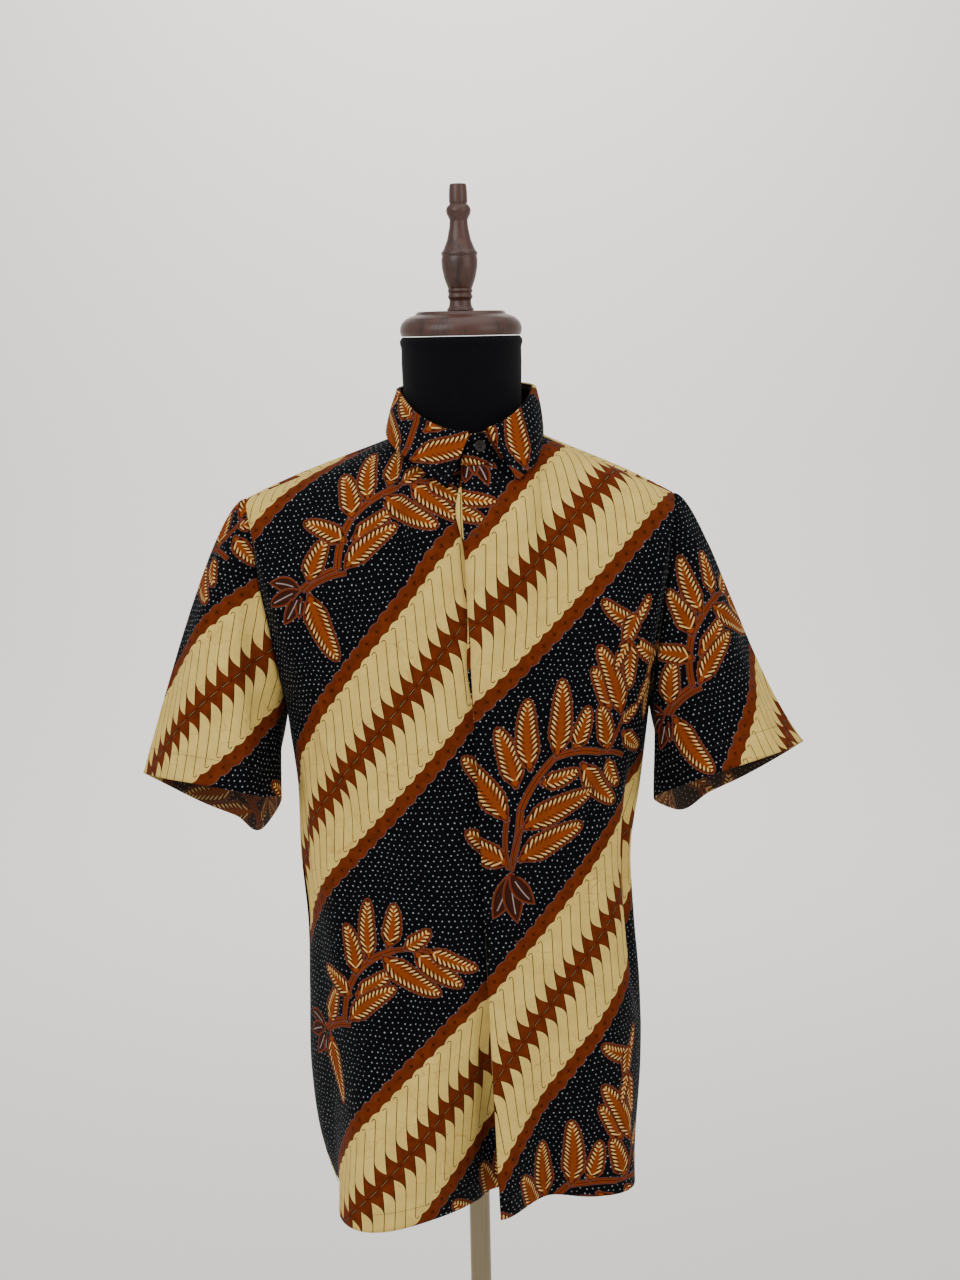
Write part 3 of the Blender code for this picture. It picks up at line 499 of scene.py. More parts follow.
NECK_END = 0.27  # shares of a panel's top edge where the neckline ends and the armhole begins
SHOULDER_END = 0.62
FRONT_CELLS = (14, 22, 28)  # across the neckline, the shoulder and the armhole
LOW_ROWS, HIGH_ROWS = 112, 70  # below the chest and above it
BELOW_CHEST = 0.02  # where the cloth's direction at the chest is taken from
FRONT_POINTS = 160  # of a section before it is cut into cells
FRONT_RISE = 1.0
# Large folds, as the solids have them: "along" is the distance from the opening or the back's centre
Fold = namedtuple("Fold", "panel along lean start end push width kind")
FOLDS = (
    Fold("left", 0.090, 0.020, 0.500, HEM_DROP, 0.056, 0.046, "hem"),
    Fold("left", -0.004, 0.000, 0.580, HEM_DROP, -0.044, 0.036, "hem"),
    Fold("left", 0.170, 0.000, 0.560, HEM_DROP, -0.008, 0.026, "hem"),
    Fold("left", 0.205, 0.010, 0.375, 0.600, -0.008, 0.018, "passing"),
    Fold("right", 0.000, 0.000, 0.600, HEM_DROP, 0.020, 0.022, "hem"),
    Fold("right", 0.058, 0.000, 0.560, HEM_DROP, -0.026, 0.032, "hem"),
    Fold("right", 0.125, 0.010, 0.600, HEM_DROP, 0.010, 0.026, "hem"),
    Fold("right", 0.172, 0.010, 0.375, 0.680, -0.019, 0.015, "passing"),
    Fold("back", -0.085, -0.010, 0.450, HEM_DROP, 0.016, 0.030, "hem"),
    Fold("back", -0.020, 0.000, 0.450, HEM_DROP, -0.012, 0.030, "hem"),
    Fold("back", 0.045, 0.000, 0.450, HEM_DROP, 0.014, 0.028, "hem"),
    Fold("back", 0.115, 0.010, 0.450, HEM_DROP, -0.012, 0.024, "hem"),
)


def measured(points):
    """Distance of each point of a line from its first one."""
    return np.concatenate([[0], np.cumsum(np.linalg.norm(np.diff(points, axis=0), axis=1))])


def spaced(points, places):
    """Points at the given fractions of the length of a line."""
    along = measured(points)
    at = np.asarray(places) * along[-1]
    return np.stack([np.interp(at, along, points[:, k]) for k in range(3)], axis=1)


def eased(value):
    """A value held between 0 and 1, with a gentle start and end."""
    value = np.clip(value, 0, 1)
    return value * value * (3 - 2 * value)


def oval(angle, row, drop):
    """Point of a body section: 0 is the front, a quarter turn the shirt's side at +X."""
    side = row.right if math.sin(angle) > 0 else row.left
    depth = row.front if math.cos(angle) > 0 else row.back
    return (
        side * power(math.sin(angle), 2 / ROUNDNESS),
        -depth * power(math.cos(angle), 2 / ROUNDNESS),
        CAP_HEIGHT - drop,
    )


def body_row(drop):
    """The body's section at any drop."""
    return Section(drop, *smooth(column(BODY, "drop"), column(BODY, *Section._fields[1:]), drop))


def edge_x(drop):
    """X of the opening's edge, which leans."""
    return EDGE_TOP_X + (EDGE_HEM_X - EDGE_TOP_X) * (drop - NECK_DROP_FRONT) / (HEM_DROP - NECK_DROP_FRONT)


def side_angle(row, sign):
    """Angle of a section's side seam, which lies a little before or behind the widest place."""
    seam = row.seam_right if sign > 0 else row.seam_left
    depth = row.back if seam > 0 else row.front
    return sign * (math.pi / 2 + math.asin(power(seam / depth, ROUNDNESS / 2)))


def pushed(points, start_along, drop, panel):
    """A section moved out and in by the panel's folds, along its own normals."""
    along = start_along + measured(points)
    tangent = np.gradient(points[:, :2], axis=0)
    normal = np.stack([tangent[:, 1], -tangent[:, 0]], axis=1)
    normal /= np.linalg.norm(normal, axis=1)[:, None]
    outward = np.sign((normal * points[:, :2]).sum())
    total = np.zeros(len(points))
    for fold in FOLDS:
        down = (drop - fold.start) / (fold.end - fold.start)
        if fold.panel != panel or not 0 < down <= 1:
            continue
        strength = down**1.5 if fold.kind == "hem" else math.sin(math.pi * down) ** 1.2
        centre = fold.along + fold.lean * down
        total += fold.push * strength * np.exp(-(((along - centre) / fold.width) ** 2))
    moved = points.copy()
    moved[:, :2] += outward * normal * total[:, None]
    return moved


def front_section(drop, side, start_x, places, panel):
    """One level of a front: from the opening round to the side seam."""
    row = body_row(drop)
    half = row.right if start_x > 0 else row.left
    start = math.asin(power(start_x / half, ROUNDNESS / 2))
    angles = np.linspace(start, side_angle(row, side.sign), FRONT_POINTS)
    points = np.array([oval(angle, row, drop) for angle in angles])
    shift = (start_x - edge_x(drop)) * side.sign
    return spaced(pushed(points, shift, drop, panel), places)


def round_neck(angle, front, side, back):
    """A size that changes round the neck, at an angle in degrees."""
    ahead = math.cos(math.radians(angle))
    return side + (front - side) * max(0.0, ahead) ** 1.5 + (back - side) * max(0.0, -ahead) ** 1.5


def neck_point(angle, inset=0.0):
    """Point of the neckline at an angle in degrees."""
    turn = math.radians(angle)
    depth = NECK_FRONT if math.cos(turn) > 0 else NECK_BACK
    return np.array([
        NECK_CENTRE_X + (NECK_HALF_WIDTH - inset) * math.sin(turn),
        -(depth - inset) * math.cos(turn),
        CAP_HEIGHT - round_neck(angle, NECK_DROP_FRONT, NECK_DROP_SIDE, NECK_DROP_BACK),
    ])


def neck_angle(x):
    """Angle in degrees of the neckline's front at an X."""
    return math.degrees(math.asin((x - NECK_CENTRE_X) / NECK_HALF_WIDTH))


def armhole(side, way, behind):
    """Points of the armhole, from the underarm (0) up to the shoulder tip (1)."""
    ways = column(ARMHOLE, "way")
    out = smooth(ways, column(ARMHOLE, "out"), way) / ARMHOLE[-1].out
    depth = smooth(ways, column(ARMHOLE, "back" if behind else "front"), way)
    fall = smooth(ways, column(ARMHOLE, "drop"), way)
    x = side.underarm + (side.tip - side.underarm) * out
    drop = side.tip_drop + (UNDERARM_DROP - side.tip_drop) * fall
    return np.stack([side.sign * x, depth if behind else -depth, CAP_HEIGHT - drop], axis=-1)


def top_places(cells):
    """Fractions across a panel, so that a column meets each corner of its top edge."""
    neck, shoulder, arm = cells
    return np.concatenate([
        np.linspace(0, NECK_END, neck + 1)[:-1],
        np.linspace(NECK_END, SHOULDER_END, shoulder + 1)[:-1],
        np.linspace(SHOULDER_END, 1, arm + 1),
    ])


def top_edge(side, places, start_angle, behind):
    """Top edge of half a panel: neckline, shoulder seam, then down the armhole."""
    seam_angle = side.sign * SEAM_ANGLE
    tip = armhole(side, 1.0, behind)
    neck_side = neck_point(seam_angle)
    points = []
    for place in places:
        if place <= NECK_END:
            points.append(neck_point(start_angle + (seam_angle - start_angle) * place / NECK_END))
        elif place <= SHOULDER_END:
            part = (place - NECK_END) / (SHOULDER_END - NECK_END)
            points.append(neck_side + (tip - neck_side) * part)
        else:
            points.append(armhole(side, 1 - (place - SHOULDER_END) / (1 - SHOULDER_END), behind))
    return np.array(points)


def top_run(side, places, start_angle, behind):
    """Direction in which the cloth reaches its top edge."""
    to_seam = side.sign * SEAM_ANGLE - start_angle
    turned_away = np.abs(start_angle + to_seam * np.clip(places / NECK_END, 0, 1))
    if behind:
        neck = smooth([SEAM_ANGLE, 180], [(0, -0.98, -0.14), (0, -0.5, 0.87)], turned_away)
        runs = [(0, -0.98, -0.14), (0.05, -0.98, -0.14), (0.3, -0.15, 0.94), (0.05, 0, 1)]
    else:
        neck = smooth([0, SEAM_ANGLE], [(0, 0.5, 0.87), (0, 0.98, 0.14)], turned_away)
        runs = [(0, 0.98, 0.14), (-0.05, 0.98, 0.14), (0.3, 0.15, 0.94), (0.05, 0, 1)]
    rest = smooth([NECK_END, SHOULDER_END, 0.5 * (SHOULDER_END + 1), 1], runs, places)
    run = np.where((places <= NECK_END)[:, None], neck, rest)
    run /= np.linalg.norm(run, axis=1)[:, None]
    run[:, 0] *= side.sign
    return run


def panel_grid(section, high, run, rise):
    """Grid of a panel: level rows from the hem up to the chest, then rows that rise to its top edge."""
    rows = [section(drop) for drop in np.linspace(HEM_DROP, CHEST_DROP, LOW_ROWS + 1)]
    chest = rows[-1]
    start = chest - section(CHEST_DROP + BELOW_CHEST)
    start /= np.linalg.norm(start, axis=1)[:, None]
    length = np.linalg.norm(high - chest, axis=1)[:, None] * rise
    shares = np.linspace(0, 1, HIGH_ROWS + 1)[1:]
    return np.array(rows + [curve(t, chest, start * length, high, run * length) for t in shares])


def front_grid(side, panel):
    """Grid of a front: rows from the hem up, columns from the opening to the side seam."""
    places = top_places(FRONT_CELLS)
    extra = OVERLAP if panel == "left" else 0.0
    start = neck_angle(EDGE_TOP_X + extra)
    high = top_edge(side, places, start, False)
    run = top_run(side, places, start, False)

    def section(drop):
        """One level of this front."""
        return front_section(drop, side, edge_x(drop) + extra, places, panel)

    return panel_grid(section, high, run, FRONT_RISE)


def normals(grid, flip=False):
    """Unit normals of a grid of points. Flip says that its columns run the other way round."""
    normal = np.cross(np.gradient(grid, axis=1), np.gradient(grid, axis=0))
    return normal / np.linalg.norm(normal, axis=2)[:, :, None] * (-1 if flip else 1)


def sheet_mesh(grid, flip):
    """The faces of a grid of points, and its vertices in the grid's order."""
    rows, columns = grid.shape[:2]
    mesh = bpy.data.meshes.new("cloth")
    index = np.arange(rows * columns).reshape(rows, columns)
    quads = np.stack([index[:-1, :-1], index[:-1, 1:], index[1:, 1:], index[1:, :-1]], axis=-1).reshape(-1, 4)
    mesh.from_pydata(grid.reshape(-1, 3).tolist(), [], (quads[:, ::-1] if flip else quads).tolist())
    return mesh


# Main creases, each a soft ridge or, where its height is negative, a trough, from one place to another:
# metres across and down from the cap, as the panel is seen from the front or from behind
Crease = namedtuple("Crease", "x drop to_x to_drop height width")
CREASES = {
    "left front": (
        Crease(-0.166, 0.335, -0.105, 0.480, -0.0032, 0.012),
        Crease(-0.150, 0.360, -0.070, 0.455, 0.0022, 0.011),
        Crease(-0.134, 0.470, -0.122, 0.660, 0.0026, 0.014),
        Crease(-0.158, 0.500, -0.146, 0.640, -0.0020, 0.010),
        Crease(-0.060, 0.560, -0.078, 0.820, -0.0024, 0.015),
        Crease(-0.100, 0.640, -0.112, 0.830, 0.0030, 0.016),
        Crease(-0.140, 0.690, -0.136, 0.800, -0.0022, 0.011),
        Crease(-0.030, 0.640, -0.036, 0.790, 0.0020, 0.012),
        Crease(-0.160, 0.180, -0.120, 0.260, 0.0016, 0.012),
        Crease(-0.020, 0.185, -0.060, 0.330, -0.0014, 0.014),
    ),
    "right front": (
        Crease(0.164, 0.340, 0.100, 0.470, -0.0030, 0.012),
        Crease(0.150, 0.375, 0.075, 0.440, 0.0020, 0.010),
        Crease(0.006, 0.150, 0.014, 0.300, 0.0016, 0.008),
        Crease(0.130, 0.480, 0.142, 0.660, 0.0024, 0.014),
        Crease(0.090, 0.520, 0.104, 0.740, -0.0022, 0.016),
        Crease(0.046, 0.620, 0.054, 0.820, 0.0026, 0.015),
        Crease(0.126, 0.690, 0.120, 0.815, -0.0024, 0.012),
        Crease(0.084, 0.700, 0.088, 0.800, 0.0018, 0.010),
        Crease(0.150, 0.190, 0.110, 0.280, 0.0016, 0.013),
        Crease(0.030, 0.200, 0.070, 0.350, -0.0013, 0.014),
    ),
    "back": (
        Crease(-0.150, 0.350, -0.080, 0.500, -0.0030, 0.013),
        Crease(0.152, 0.345, 0.090, 0.470, -0.0028, 0.012),
        Crease(-0.110, 0.480, -0.124, 0.700, 0.0028, 0.015),
        Crease(-0.050, 0.430, -0.040, 0.690, -0.0022, 0.016),
        Crease(0.012, 0.520, 0.006, 0.800, 0.0026, 0.017),
        Crease(0.074, 0.470, 0.086, 0.760, -0.0024, 0.014),
        Crease(0.128, 0.560, 0.134, 0.780, 0.0024, 0.013),
        Crease(-0.086, 0.660, -0.082, 0.820, -0.0020, 0.012),
        Crease(-0.100, 0.170, -0.030, 0.230, 0.0014, 0.014),
        Crease(0.100, 0.175, 0.036, 0.240, 0.0014, 0.014),
    ),
    "left sleeve front": (
        Crease(-0.186, 0.225, -0.170, 0.400, 0.0058, 0.009),
        Crease(-0.208, 0.215, -0.192, 0.395, -0.0070, 0.012),
        Crease(-0.226, 0.180, -0.262, 0.300, 0.0022, 0.012),
        Crease(-0.232, 0.330, -0.246, 0.408, -0.0020, 0.011),
        Crease(-0.275, 0.320, -0.292, 0.400, -0.0018, 0.010),
    ),
    "right sleeve front": (
        Crease(0.184, 0.215, 0.180, 0.390, 0.0052, 0.009),
        Crease(0.204, 0.200, 0.202, 0.380, -0.0064, 0.012),
        Crease(0.222, 0.180, 0.262, 0.310, 0.0022, 0.013),
        Crease(0.236, 0.300, 0.256, 0.400, -0.0022, 0.012),
        Crease(0.280, 0.310, 0.302, 0.392, -0.0018, 0.010),
    ),
    "left sleeve back": (
        Crease(0.192, 0.230, 0.196, 0.420, 0.0046, 0.010),
        Crease(0.214, 0.220, 0.222, 0.430, -0.0056, 0.013),
        Crease(0.244, 0.260, 0.268, 0.440, 0.0024, 0.012),
    ),
    "right sleeve back": (
        Crease(-0.190, 0.225, -0.200, 0.430, 0.0044, 0.010),
        Crease(-0.212, 0.215, -0.228, 0.420, -0.0052, 0.013),
        Crease(-0.246, 0.250, -0.276, 0.420, 0.0024, 0.012),
    ),
}
SEWN_CELLS = 5  # a crease fades over this many cells before a seam
CREASE_TURN = 2.2  # how fast it fades where the cloth turns away
CREASE_PAST, CREASE_FADE = 0.12, 0.4  # shares of its length: how far past its ends it runs, and its fade


def creased(grid, flip, panel, facing, sewn):
    """The grid with one panel's creases. Facing is -1 where it is seen from the front and 1 from behind."""
    outward = normals(grid, flip)
    seen = np.clip(outward[:, :, 1] * facing * CREASE_TURN, 0, 1)
    places = np.stack([-grid[:, :, 0] * facing, CAP_HEIGHT - grid[:, :, 2]], axis=-1)
    total = np.zeros(grid.shape[:2])
    for crease in CREASES[panel]:
        start = np.array([crease.x, crease.drop])
        run = np.array([crease.to_x, crease.to_drop]) - start
        length = np.hypot(*run)
        away = places - start
        along = (away @ run) / length**2
        across = (away[:, :, 0] * run[1] - away[:, :, 1] * run[0]) / length
        before, after = along + CREASE_PAST, 1 + CREASE_PAST - along
        ends = eased(before / CREASE_FADE) * eased(after / CREASE_FADE)
        total += crease.height * ends * np.exp(-((across / crease.width) ** 2))
    rows, columns = grid.shape[:2]
    fades = {
        "first row": np.arange(rows)[:, None],
        "last row": np.arange(rows)[::-1][:, None],
        "first column": np.arange(columns)[None, :],
        "last column": np.arange(columns)[None, ::-1],
    }
    for rim in sewn:
        total = total * eased(fades[rim] / SEWN_CELLS)
    return grid + outward * (total * seen)[:, :, None]


BODY_SEAMS = ("last row", "last column")
right_front = front_grid(RIGHT, "right")
right_front = creased(right_front, False, "right front", -1, BODY_SEAMS)
left_front = front_grid(LEFT, "left")


# The print
# Batik drawn in wax and dyed in turn: bands of slanting blades between rust borders, on a dark ground full
# of pale dots, with leafy sprays. Sizes are millimetres of flat cloth; it all repeats upwards by REPEAT_UP.
BAND_ANGLE = 46.5  # degrees from the weft
SLOPE = math.tan(math.radians(BAND_ANGLE))
REPEAT_UP = 436.0
REPEAT_ACROSS = REPEAT_UP / SLOPE
BLADE_PITCH = 10.0  # measured level
BLADE_REACH = 12.4  # from a blade's left line to its point
BLADE_SWEEP = 17.0  # height of the curved part of its left edge
SWEEP_BEND = 3.5  # how late that edge turns towards the point
WEDGE_BEND = 1.7
WEDGE_HEIGHT = 28.0  # height of the rust wedge between two blades
POINT_LIFT = 5.5  # height of the points above the band's rope
LINE_START = 4.6
HOOK_HEIGHT = 68.0
HOOK_RADIUS = 1.8
LINE = 0.36  # half width of a drawn line
CROSSING = (3.7, 134.9)  # a crossing of one rope, on the fronts
SHOULDER_BAND_FROM = 300.0
SHOULDER_BAND_NEARER = 38.0
BAND_INNER = 51.0  # from the rope to the cream's scalloped edge
BAND_OUTER = 64.5  # from the rope to the border's scalloped edge
SCALLOP = 2.3
UNIT = BLADE_PITCH / math.cos(math.radians(BAND_ANGLE))  # one blade, along the band
HEAD = 9.0  # so far over the lines that the blades' heads join
HOOK_ENDS = -0.3
BORDER_LINE = 0.9  # width of the drawn line outside the border
SCALLOP_START = 6.8
CROSS_OFF = 1.4  # from the border's middle
CROSS_LINE, CROSS_ARM = 0.34, 2.4
DASH_HALF_LENGTH, DASH_CORE, DASH_RIM = 3.6, 0.32, 1.15
CROSSING_LINE, CROSSING_REACH = 0.34, 2.2
CRACK_SPACING, CRACK_WIDTH, CRACK_STRENGTH = 15.0, 0.03, 0.55  # the width is a share of the spacing
DOT_SPACING = 5.7
DOT_ROWS = 5.0
DOT_RADIUS = 0.61
DOT_SMALL, DOT_LARGE = 0.7, 1.15  # times that radius
DOT_WANDER = 0.32  # of a cell, about its middle
DOT_DRIFT = 16.0  # how far a row wanders, over a long way
DOT_BLUR = 0.16
DROP_PITCH = 4.8  # between two wax drops along a leaf's edge
DROP_LENGTH = 5.6
DROP_HALF_WIDTH = 0.3  # of the pitch
DROP_OUTLINE = 0.18
VEIN_FROM = 0.4  # a vein lies where two drops meet, from here to half a pitch
MIDRIB = 2.4
RIM = 1.7  # a leaf's plain edge
RIM_LINE = 0.7
OUTLINE = 0.7

CREAM, CREAM_AGED, OCHRE_CRACK, DROP_CREAM = "#e0c46e", "#cda957", "#9a6a2a", "#d9aa64"
RUST, RUST_DARK, BROWN_LINE = "#762f06", "#451803", "#120604"
MAUVE_LINE, ROPE_DASH = "#623c38", "#8a6a42"
LEAF_ORANGE, LEAF_DEEP = "#803806", "#642604"
PETAL_RED, PETAL_LINE = "#34160b", "#94857f"
NAVY, NAVY_DEEP, DOT_WHITE = "#060609", "#010103", "#939ca0"


def new_group(name, outputs):
    """A node group that takes a UV place and gives the named outputs."""
    group = bpy.data.node_groups.new(name, "ShaderNodeTree")
    group.interface.new_socket("Place", in_out="INPUT", socket_type="NodeSocketVector")
    for output, kind in outputs:
        group.interface.new_socket(output, in_out="OUTPUT", socket_type="NodeSocket" + kind)
    add(group, "in", "NodeGroupInput")
    return group


# Ground: near-black indigo with rows of hand-set dots, every second row set half a step on, all of them
# uneven in place and size
ground = new_group("dotted ground", [("Colour", "Color")])
add(ground, "drift", "TexNoise", {"Vector": "in", "Scale": 0.018, "Detail": 2.0})
drifted = {0: "drift:Color", 1: (DOT_DRIFT, DOT_DRIFT, 0), 2: "in"}
add(ground, "drifted", "VectorMath", drifted, operation="MULTIPLY_ADD")
add(ground, "level", "VectorMath", ["drifted", (1 / DOT_SPACING, 1 / DOT_ROWS, 0.0)], operation="MULTIPLY")
add(ground, "level axes", "SeparateXYZ", ["level"])
add(ground, "row", "Math", ["level axes:1"], operation="FLOOR")
add(ground, "shifted", "Math", ["row", 0.5, "level axes:0"], operation="MULTIPLY_ADD")
add(ground, "place", "CombineXYZ", ["shifted", "level axes:1", 0.0])
add(ground, "cell", "VectorMath", ["place"], operation="FLOOR")
add(ground, "part", "VectorMath", ["place"], operation="FRACTION")
add(ground, "chance", "TexWhiteNoise", {"Vector": "cell"})
middle = (DOT_WANDER - 1) / 2
wander = {0: "chance:Color", 1: (-DOT_WANDER, -DOT_WANDER, 0), 2: (middle, middle, 0)}
add(ground, "wander", "VectorMath", wander, operation="MULTIPLY_ADD")
add(ground, "from dot", "VectorMath", ["part", "wander"], operation="ADD")
add(ground, "from dot mm", "VectorMath", ["from dot", (DOT_SPACING, DOT_ROWS, 0.0)], operation="MULTIPLY")
add(ground, "distance", "VectorMath", ["from dot mm"], operation="LENGTH")
sizes = {"To Min": DOT_RADIUS * DOT_SMALL, "To Max": DOT_RADIUS * DOT_LARGE}
add(ground, "radius", "MapRange", {"Value": "chance:Value", **sizes})
add(ground, "from rim", "Math", ["radius", "distance:1"], operation="SUBTRACT")
add(ground, "dot", "MapRange", {"Value": "from rim", "From Min": -DOT_BLUR, "From Max": DOT_BLUR})
add(ground, "dye", "TexNoise", {"Vector": "in", "Scale": 0.035, "Detail": 4.0})
add(ground, "dye tone", "Mix", {0: "dye:Fac", 6: NAVY_DEEP, 7: NAVY}, data_type="RGBA")
add(ground, "dotted", "Mix", {0: "dot", 6: "dye tone:2", 7: DOT_WHITE}, data_type="RGBA")
add(ground, "out", "NodeGroupOutput", ["dotted:2"])

# Band: the same half turned round for the other side of the rope
band = new_group("slanting blades", [("Colour", "Color"), ("Cover", "Float")])
add(band, "from crossing", "VectorMath", ["in", (*CROSSING, 0.0)], operation="SUBTRACT")
add(band, "axes", "SeparateXYZ", ["from crossing"])
for name, operation, *terms in (
    # height above the nearest rope, and which side of it; the band over the shoulder lies a little nearer
    ("free height", "MULTIPLY_ADD", "axes:0", -SLOPE, "axes:1"),
    ("by shoulder", "GREATER_THAN", "free height", SHOULDER_BAND_FROM),
    ("raw height", "MULTIPLY_ADD", "by shoulder", SHOULDER_BAND_NEARER, "free height"),
    ("height", "WRAP", "raw height", REPEAT_UP / 2, -REPEAT_UP / 2),
    ("side", "SIGN", "height"),
    ("h", "ABSOLUTE", "height"),
    ("x", "MULTIPLY", "axes:0", "side"),
    # place within one blade
    ("from line", "SUBTRACT", "x", LINE_START),
    ("column", "DIVIDE", "from line", BLADE_PITCH),
    ("column part", "FRACT", "column"),
    ("across own", "MULTIPLY", "column part", BLADE_PITCH),
    ("lean", "MULTIPLY_ADD", "across own", SLOPE, -BLADE_REACH * SLOPE - POINT_LIFT),
    ("up own", "ADD", "h", "lean"),
    ("up last", "ADD", "up own", BLADE_PITCH * SLOPE),
    ("across last", "ADD", "across own", BLADE_PITCH),
):
    add(band, name, "Math", terms, operation=operation)
# the blade that begins in this pitch, and the one before it, whose point reaches over
for blade in ("own", "last"):
    for name, operation, *terms in (
        ("sweep", "MULTIPLY_ADD", f"up {blade}", -1 / BLADE_SWEEP, 1.0),
        ("sweep 0", "MAXIMUM", f"sweep {blade}", 0.0),
        ("left bend", "POWER", f"sweep 0 {blade}", SWEEP_BEND),
        ("left", "MULTIPLY", f"left bend {blade}", BLADE_REACH),
        ("taper", "MULTIPLY_ADD", f"up {blade}", -1 / WEDGE_HEIGHT, 1.0),
        ("taper 0", "MAXIMUM", f"taper {blade}", 0.0),
        ("right bend", "POWER", f"taper 0 {blade}", WEDGE_BEND),
        ("right", "MULTIPLY_ADD", f"right bend {blade}", BLADE_REACH - BLADE_PITCH, BLADE_PITCH),
        ("in left", "SUBTRACT", f"across {blade}", f"left {blade}"),
        ("in right", "SUBTRACT", f"right {blade}", f"across {blade}"),
        ("in", "MINIMUM", f"in left {blade}", f"in right {blade}"),
    ):
        add(band, f"{name} {blade}", "Math", terms, operation=operation)
for name, operation, *terms in (
    ("in blade", "MAXIMUM", "in own", "in last"),
    # above the hooks the blades join into one cream head
    ("over hook", "GREATER_THAN", "h", HOOK_HEIGHT),
    ("inside", "MULTIPLY_ADD", "over hook", HEAD, "in blade"),
    ("line gap", "ABSOLUTE", "inside"),
    ("thin line", "LESS_THAN", "line gap", LINE),
    ("cream", "GREATER_THAN", "inside", 0.0),
    # hook at the top of each line
    ("to line", "SUBTRACT", "across own", BLADE_PITCH),
    ("hook up", "MULTIPLY_ADD", "to line", SLOPE, -HOOK_HEIGHT),
    ("hook y", "ADD", "h", "hook up"),
    ("hook x", "ADD", "to line", HOOK_RADIUS),
    ("hook x2", "MULTIPLY", "hook x", "hook x"),
    ("hook r2", "MULTIPLY_ADD", "hook y", "hook y", "hook x2"),
    ("hook r", "SQRT", "hook r2"),
    ("hook off", "SUBTRACT", "hook r", HOOK_RADIUS),
    ("hook gap", "ABSOLUTE", "hook off"),
    ("on hook", "LESS_THAN", "hook gap", LINE),
    ("upper half", "GREATER_THAN", "hook y", HOOK_ENDS),
    ("hook", "MULTIPLY", "on hook", "upper half"),
    ("drawn", "MAXIMUM", "hook", "thin line"),
    # scalloped edges, along the band
    ("p", "MULTIPLY", "h", math.cos(math.radians(BAND_ANGLE))),
    ("q level", "MULTIPLY", "x", 1 / math.cos(math.radians(BAND_ANGLE))),
    ("q", "MULTIPLY_ADD", "h", math.sin(math.radians(BAND_ANGLE)), "q level"),
    ("q unit", "MULTIPLY_ADD", "q", 1 / UNIT, -SCALLOP_START / UNIT),
    ("q part", "FRACT", "q unit"),
    ("q turn", "MULTIPLY", "q part", math.pi),
    ("bump", "SINE", "q turn"),
    ("inner edge", "MULTIPLY_ADD", "bump", SCALLOP, BAND_INNER),
    ("outer edge", "MULTIPLY_ADD", "bump", SCALLOP, BAND_OUTER),
    ("to inner", "SUBTRACT", "inner edge", "p"),
    ("to outer", "SUBTRACT", "outer edge", "p"),
    ("in cream field", "GREATER_THAN", "to inner", 0.0),
    ("inner gap", "ABSOLUTE", "to inner"),
    ("inner line", "LESS_THAN", "inner gap", LINE),
    ("cover", "GREATER_THAN", "to outer", 0.0),
    ("edge line", "LESS_THAN", "to outer", BORDER_LINE),
    # small crosses in the border
    ("cross q", "MULTIPLY_ADD", "q part", UNIT, -UNIT / 2),
    ("cross p", "SUBTRACT", "p", (BAND_INNER + BAND_OUTER) / 2 + CROSS_OFF),
    ("cross aq", "ABSOLUTE", "cross q"),
    ("cross ap", "ABSOLUTE", "cross p"),
    ("cross thin", "MINIMUM", "cross aq", "cross ap"),
    ("cross long", "MAXIMUM", "cross aq", "cross ap"),
    ("cross a", "LESS_THAN", "cross thin", CROSS_LINE),
    ("cross b", "LESS_THAN", "cross long", CROSS_ARM),
    ("cross drawn", "MULTIPLY", "cross a", "cross b"),
    ("in border", "LESS_THAN", "to inner", 0.0),
    ("cross", "MULTIPLY", "cross drawn", "in border"),
    # rope of short dashes and crossings
    ("rope turn", "MULTIPLY", "q", 1 / UNIT),
    ("rope q", "FRACT", "rope turn"),
    ("rope off", "SUBTRACT", "rope q", 0.5),
    ("rope aq", "ABSOLUTE", "rope off"),
    ("rope mm", "MULTIPLY", "rope aq", UNIT),
    ("dash long", "LESS_THAN", "rope mm", DASH_HALF_LENGTH),
    ("dash core", "LESS_THAN", "p", DASH_CORE),
    ("dash wide", "LESS_THAN", "p", DASH_RIM),
    ("dash light", "MULTIPLY", "dash long", "dash core"),
    ("dash rim", "MULTIPLY", "dash long", "dash wide"),
    ("crossing arm", "MULTIPLY_ADD", "rope mm", -1.0, UNIT / 2),
    ("crossing off", "SUBTRACT", "crossing arm", "p"),
    ("crossing gap", "ABSOLUTE", "crossing off"),
    ("crossing line", "LESS_THAN", "crossing gap", CROSSING_LINE),
    ("crossing near", "LESS_THAN", "p", CROSSING_REACH),
    ("crossing", "MULTIPLY", "crossing line", "crossing near"),
    ("rope drawn", "MAXIMUM", "dash rim", "crossing"),
):
    add(band, name, "Math", terms, operation=operation)
# fine ochre cracks where dye crept through the wax
add(band, "warp", "TexNoise", {"Vector": "in", "Scale": 0.08, "Detail": 3.0})
add(band, "bent", "VectorMath", {0: "warp:Color", 1: (12.0, 12.0, 0.0), 2: "in"}, operation="MULTIPLY_ADD")
add(band, "cracks", "TexVoronoi", {"Vector": "bent", "Scale": 1 / CRACK_SPACING}, feature="DISTANCE_TO_EDGE")
crack = {"From Max": CRACK_WIDTH, "To Min": CRACK_STRENGTH, "To Max": 0.0}
add(band, "crack", "MapRange", {"Value": "cracks:Distance", **crack})
add(band, "patch", "TexNoise", {"Vector": "in", "Scale": 0.03, "Detail": 2.0})
add(band, "patch on", "MapRange", {"Value": "patch:Fac", "From Min": 0.42, "From Max": 0.62})
add(band, "crack seen", "Math", ["crack", "patch on"], operation="MULTIPLY")
add(band, "rust dye", "TexNoise", {"Vector": "in", "Scale": 0.12, "Detail": 5.0})
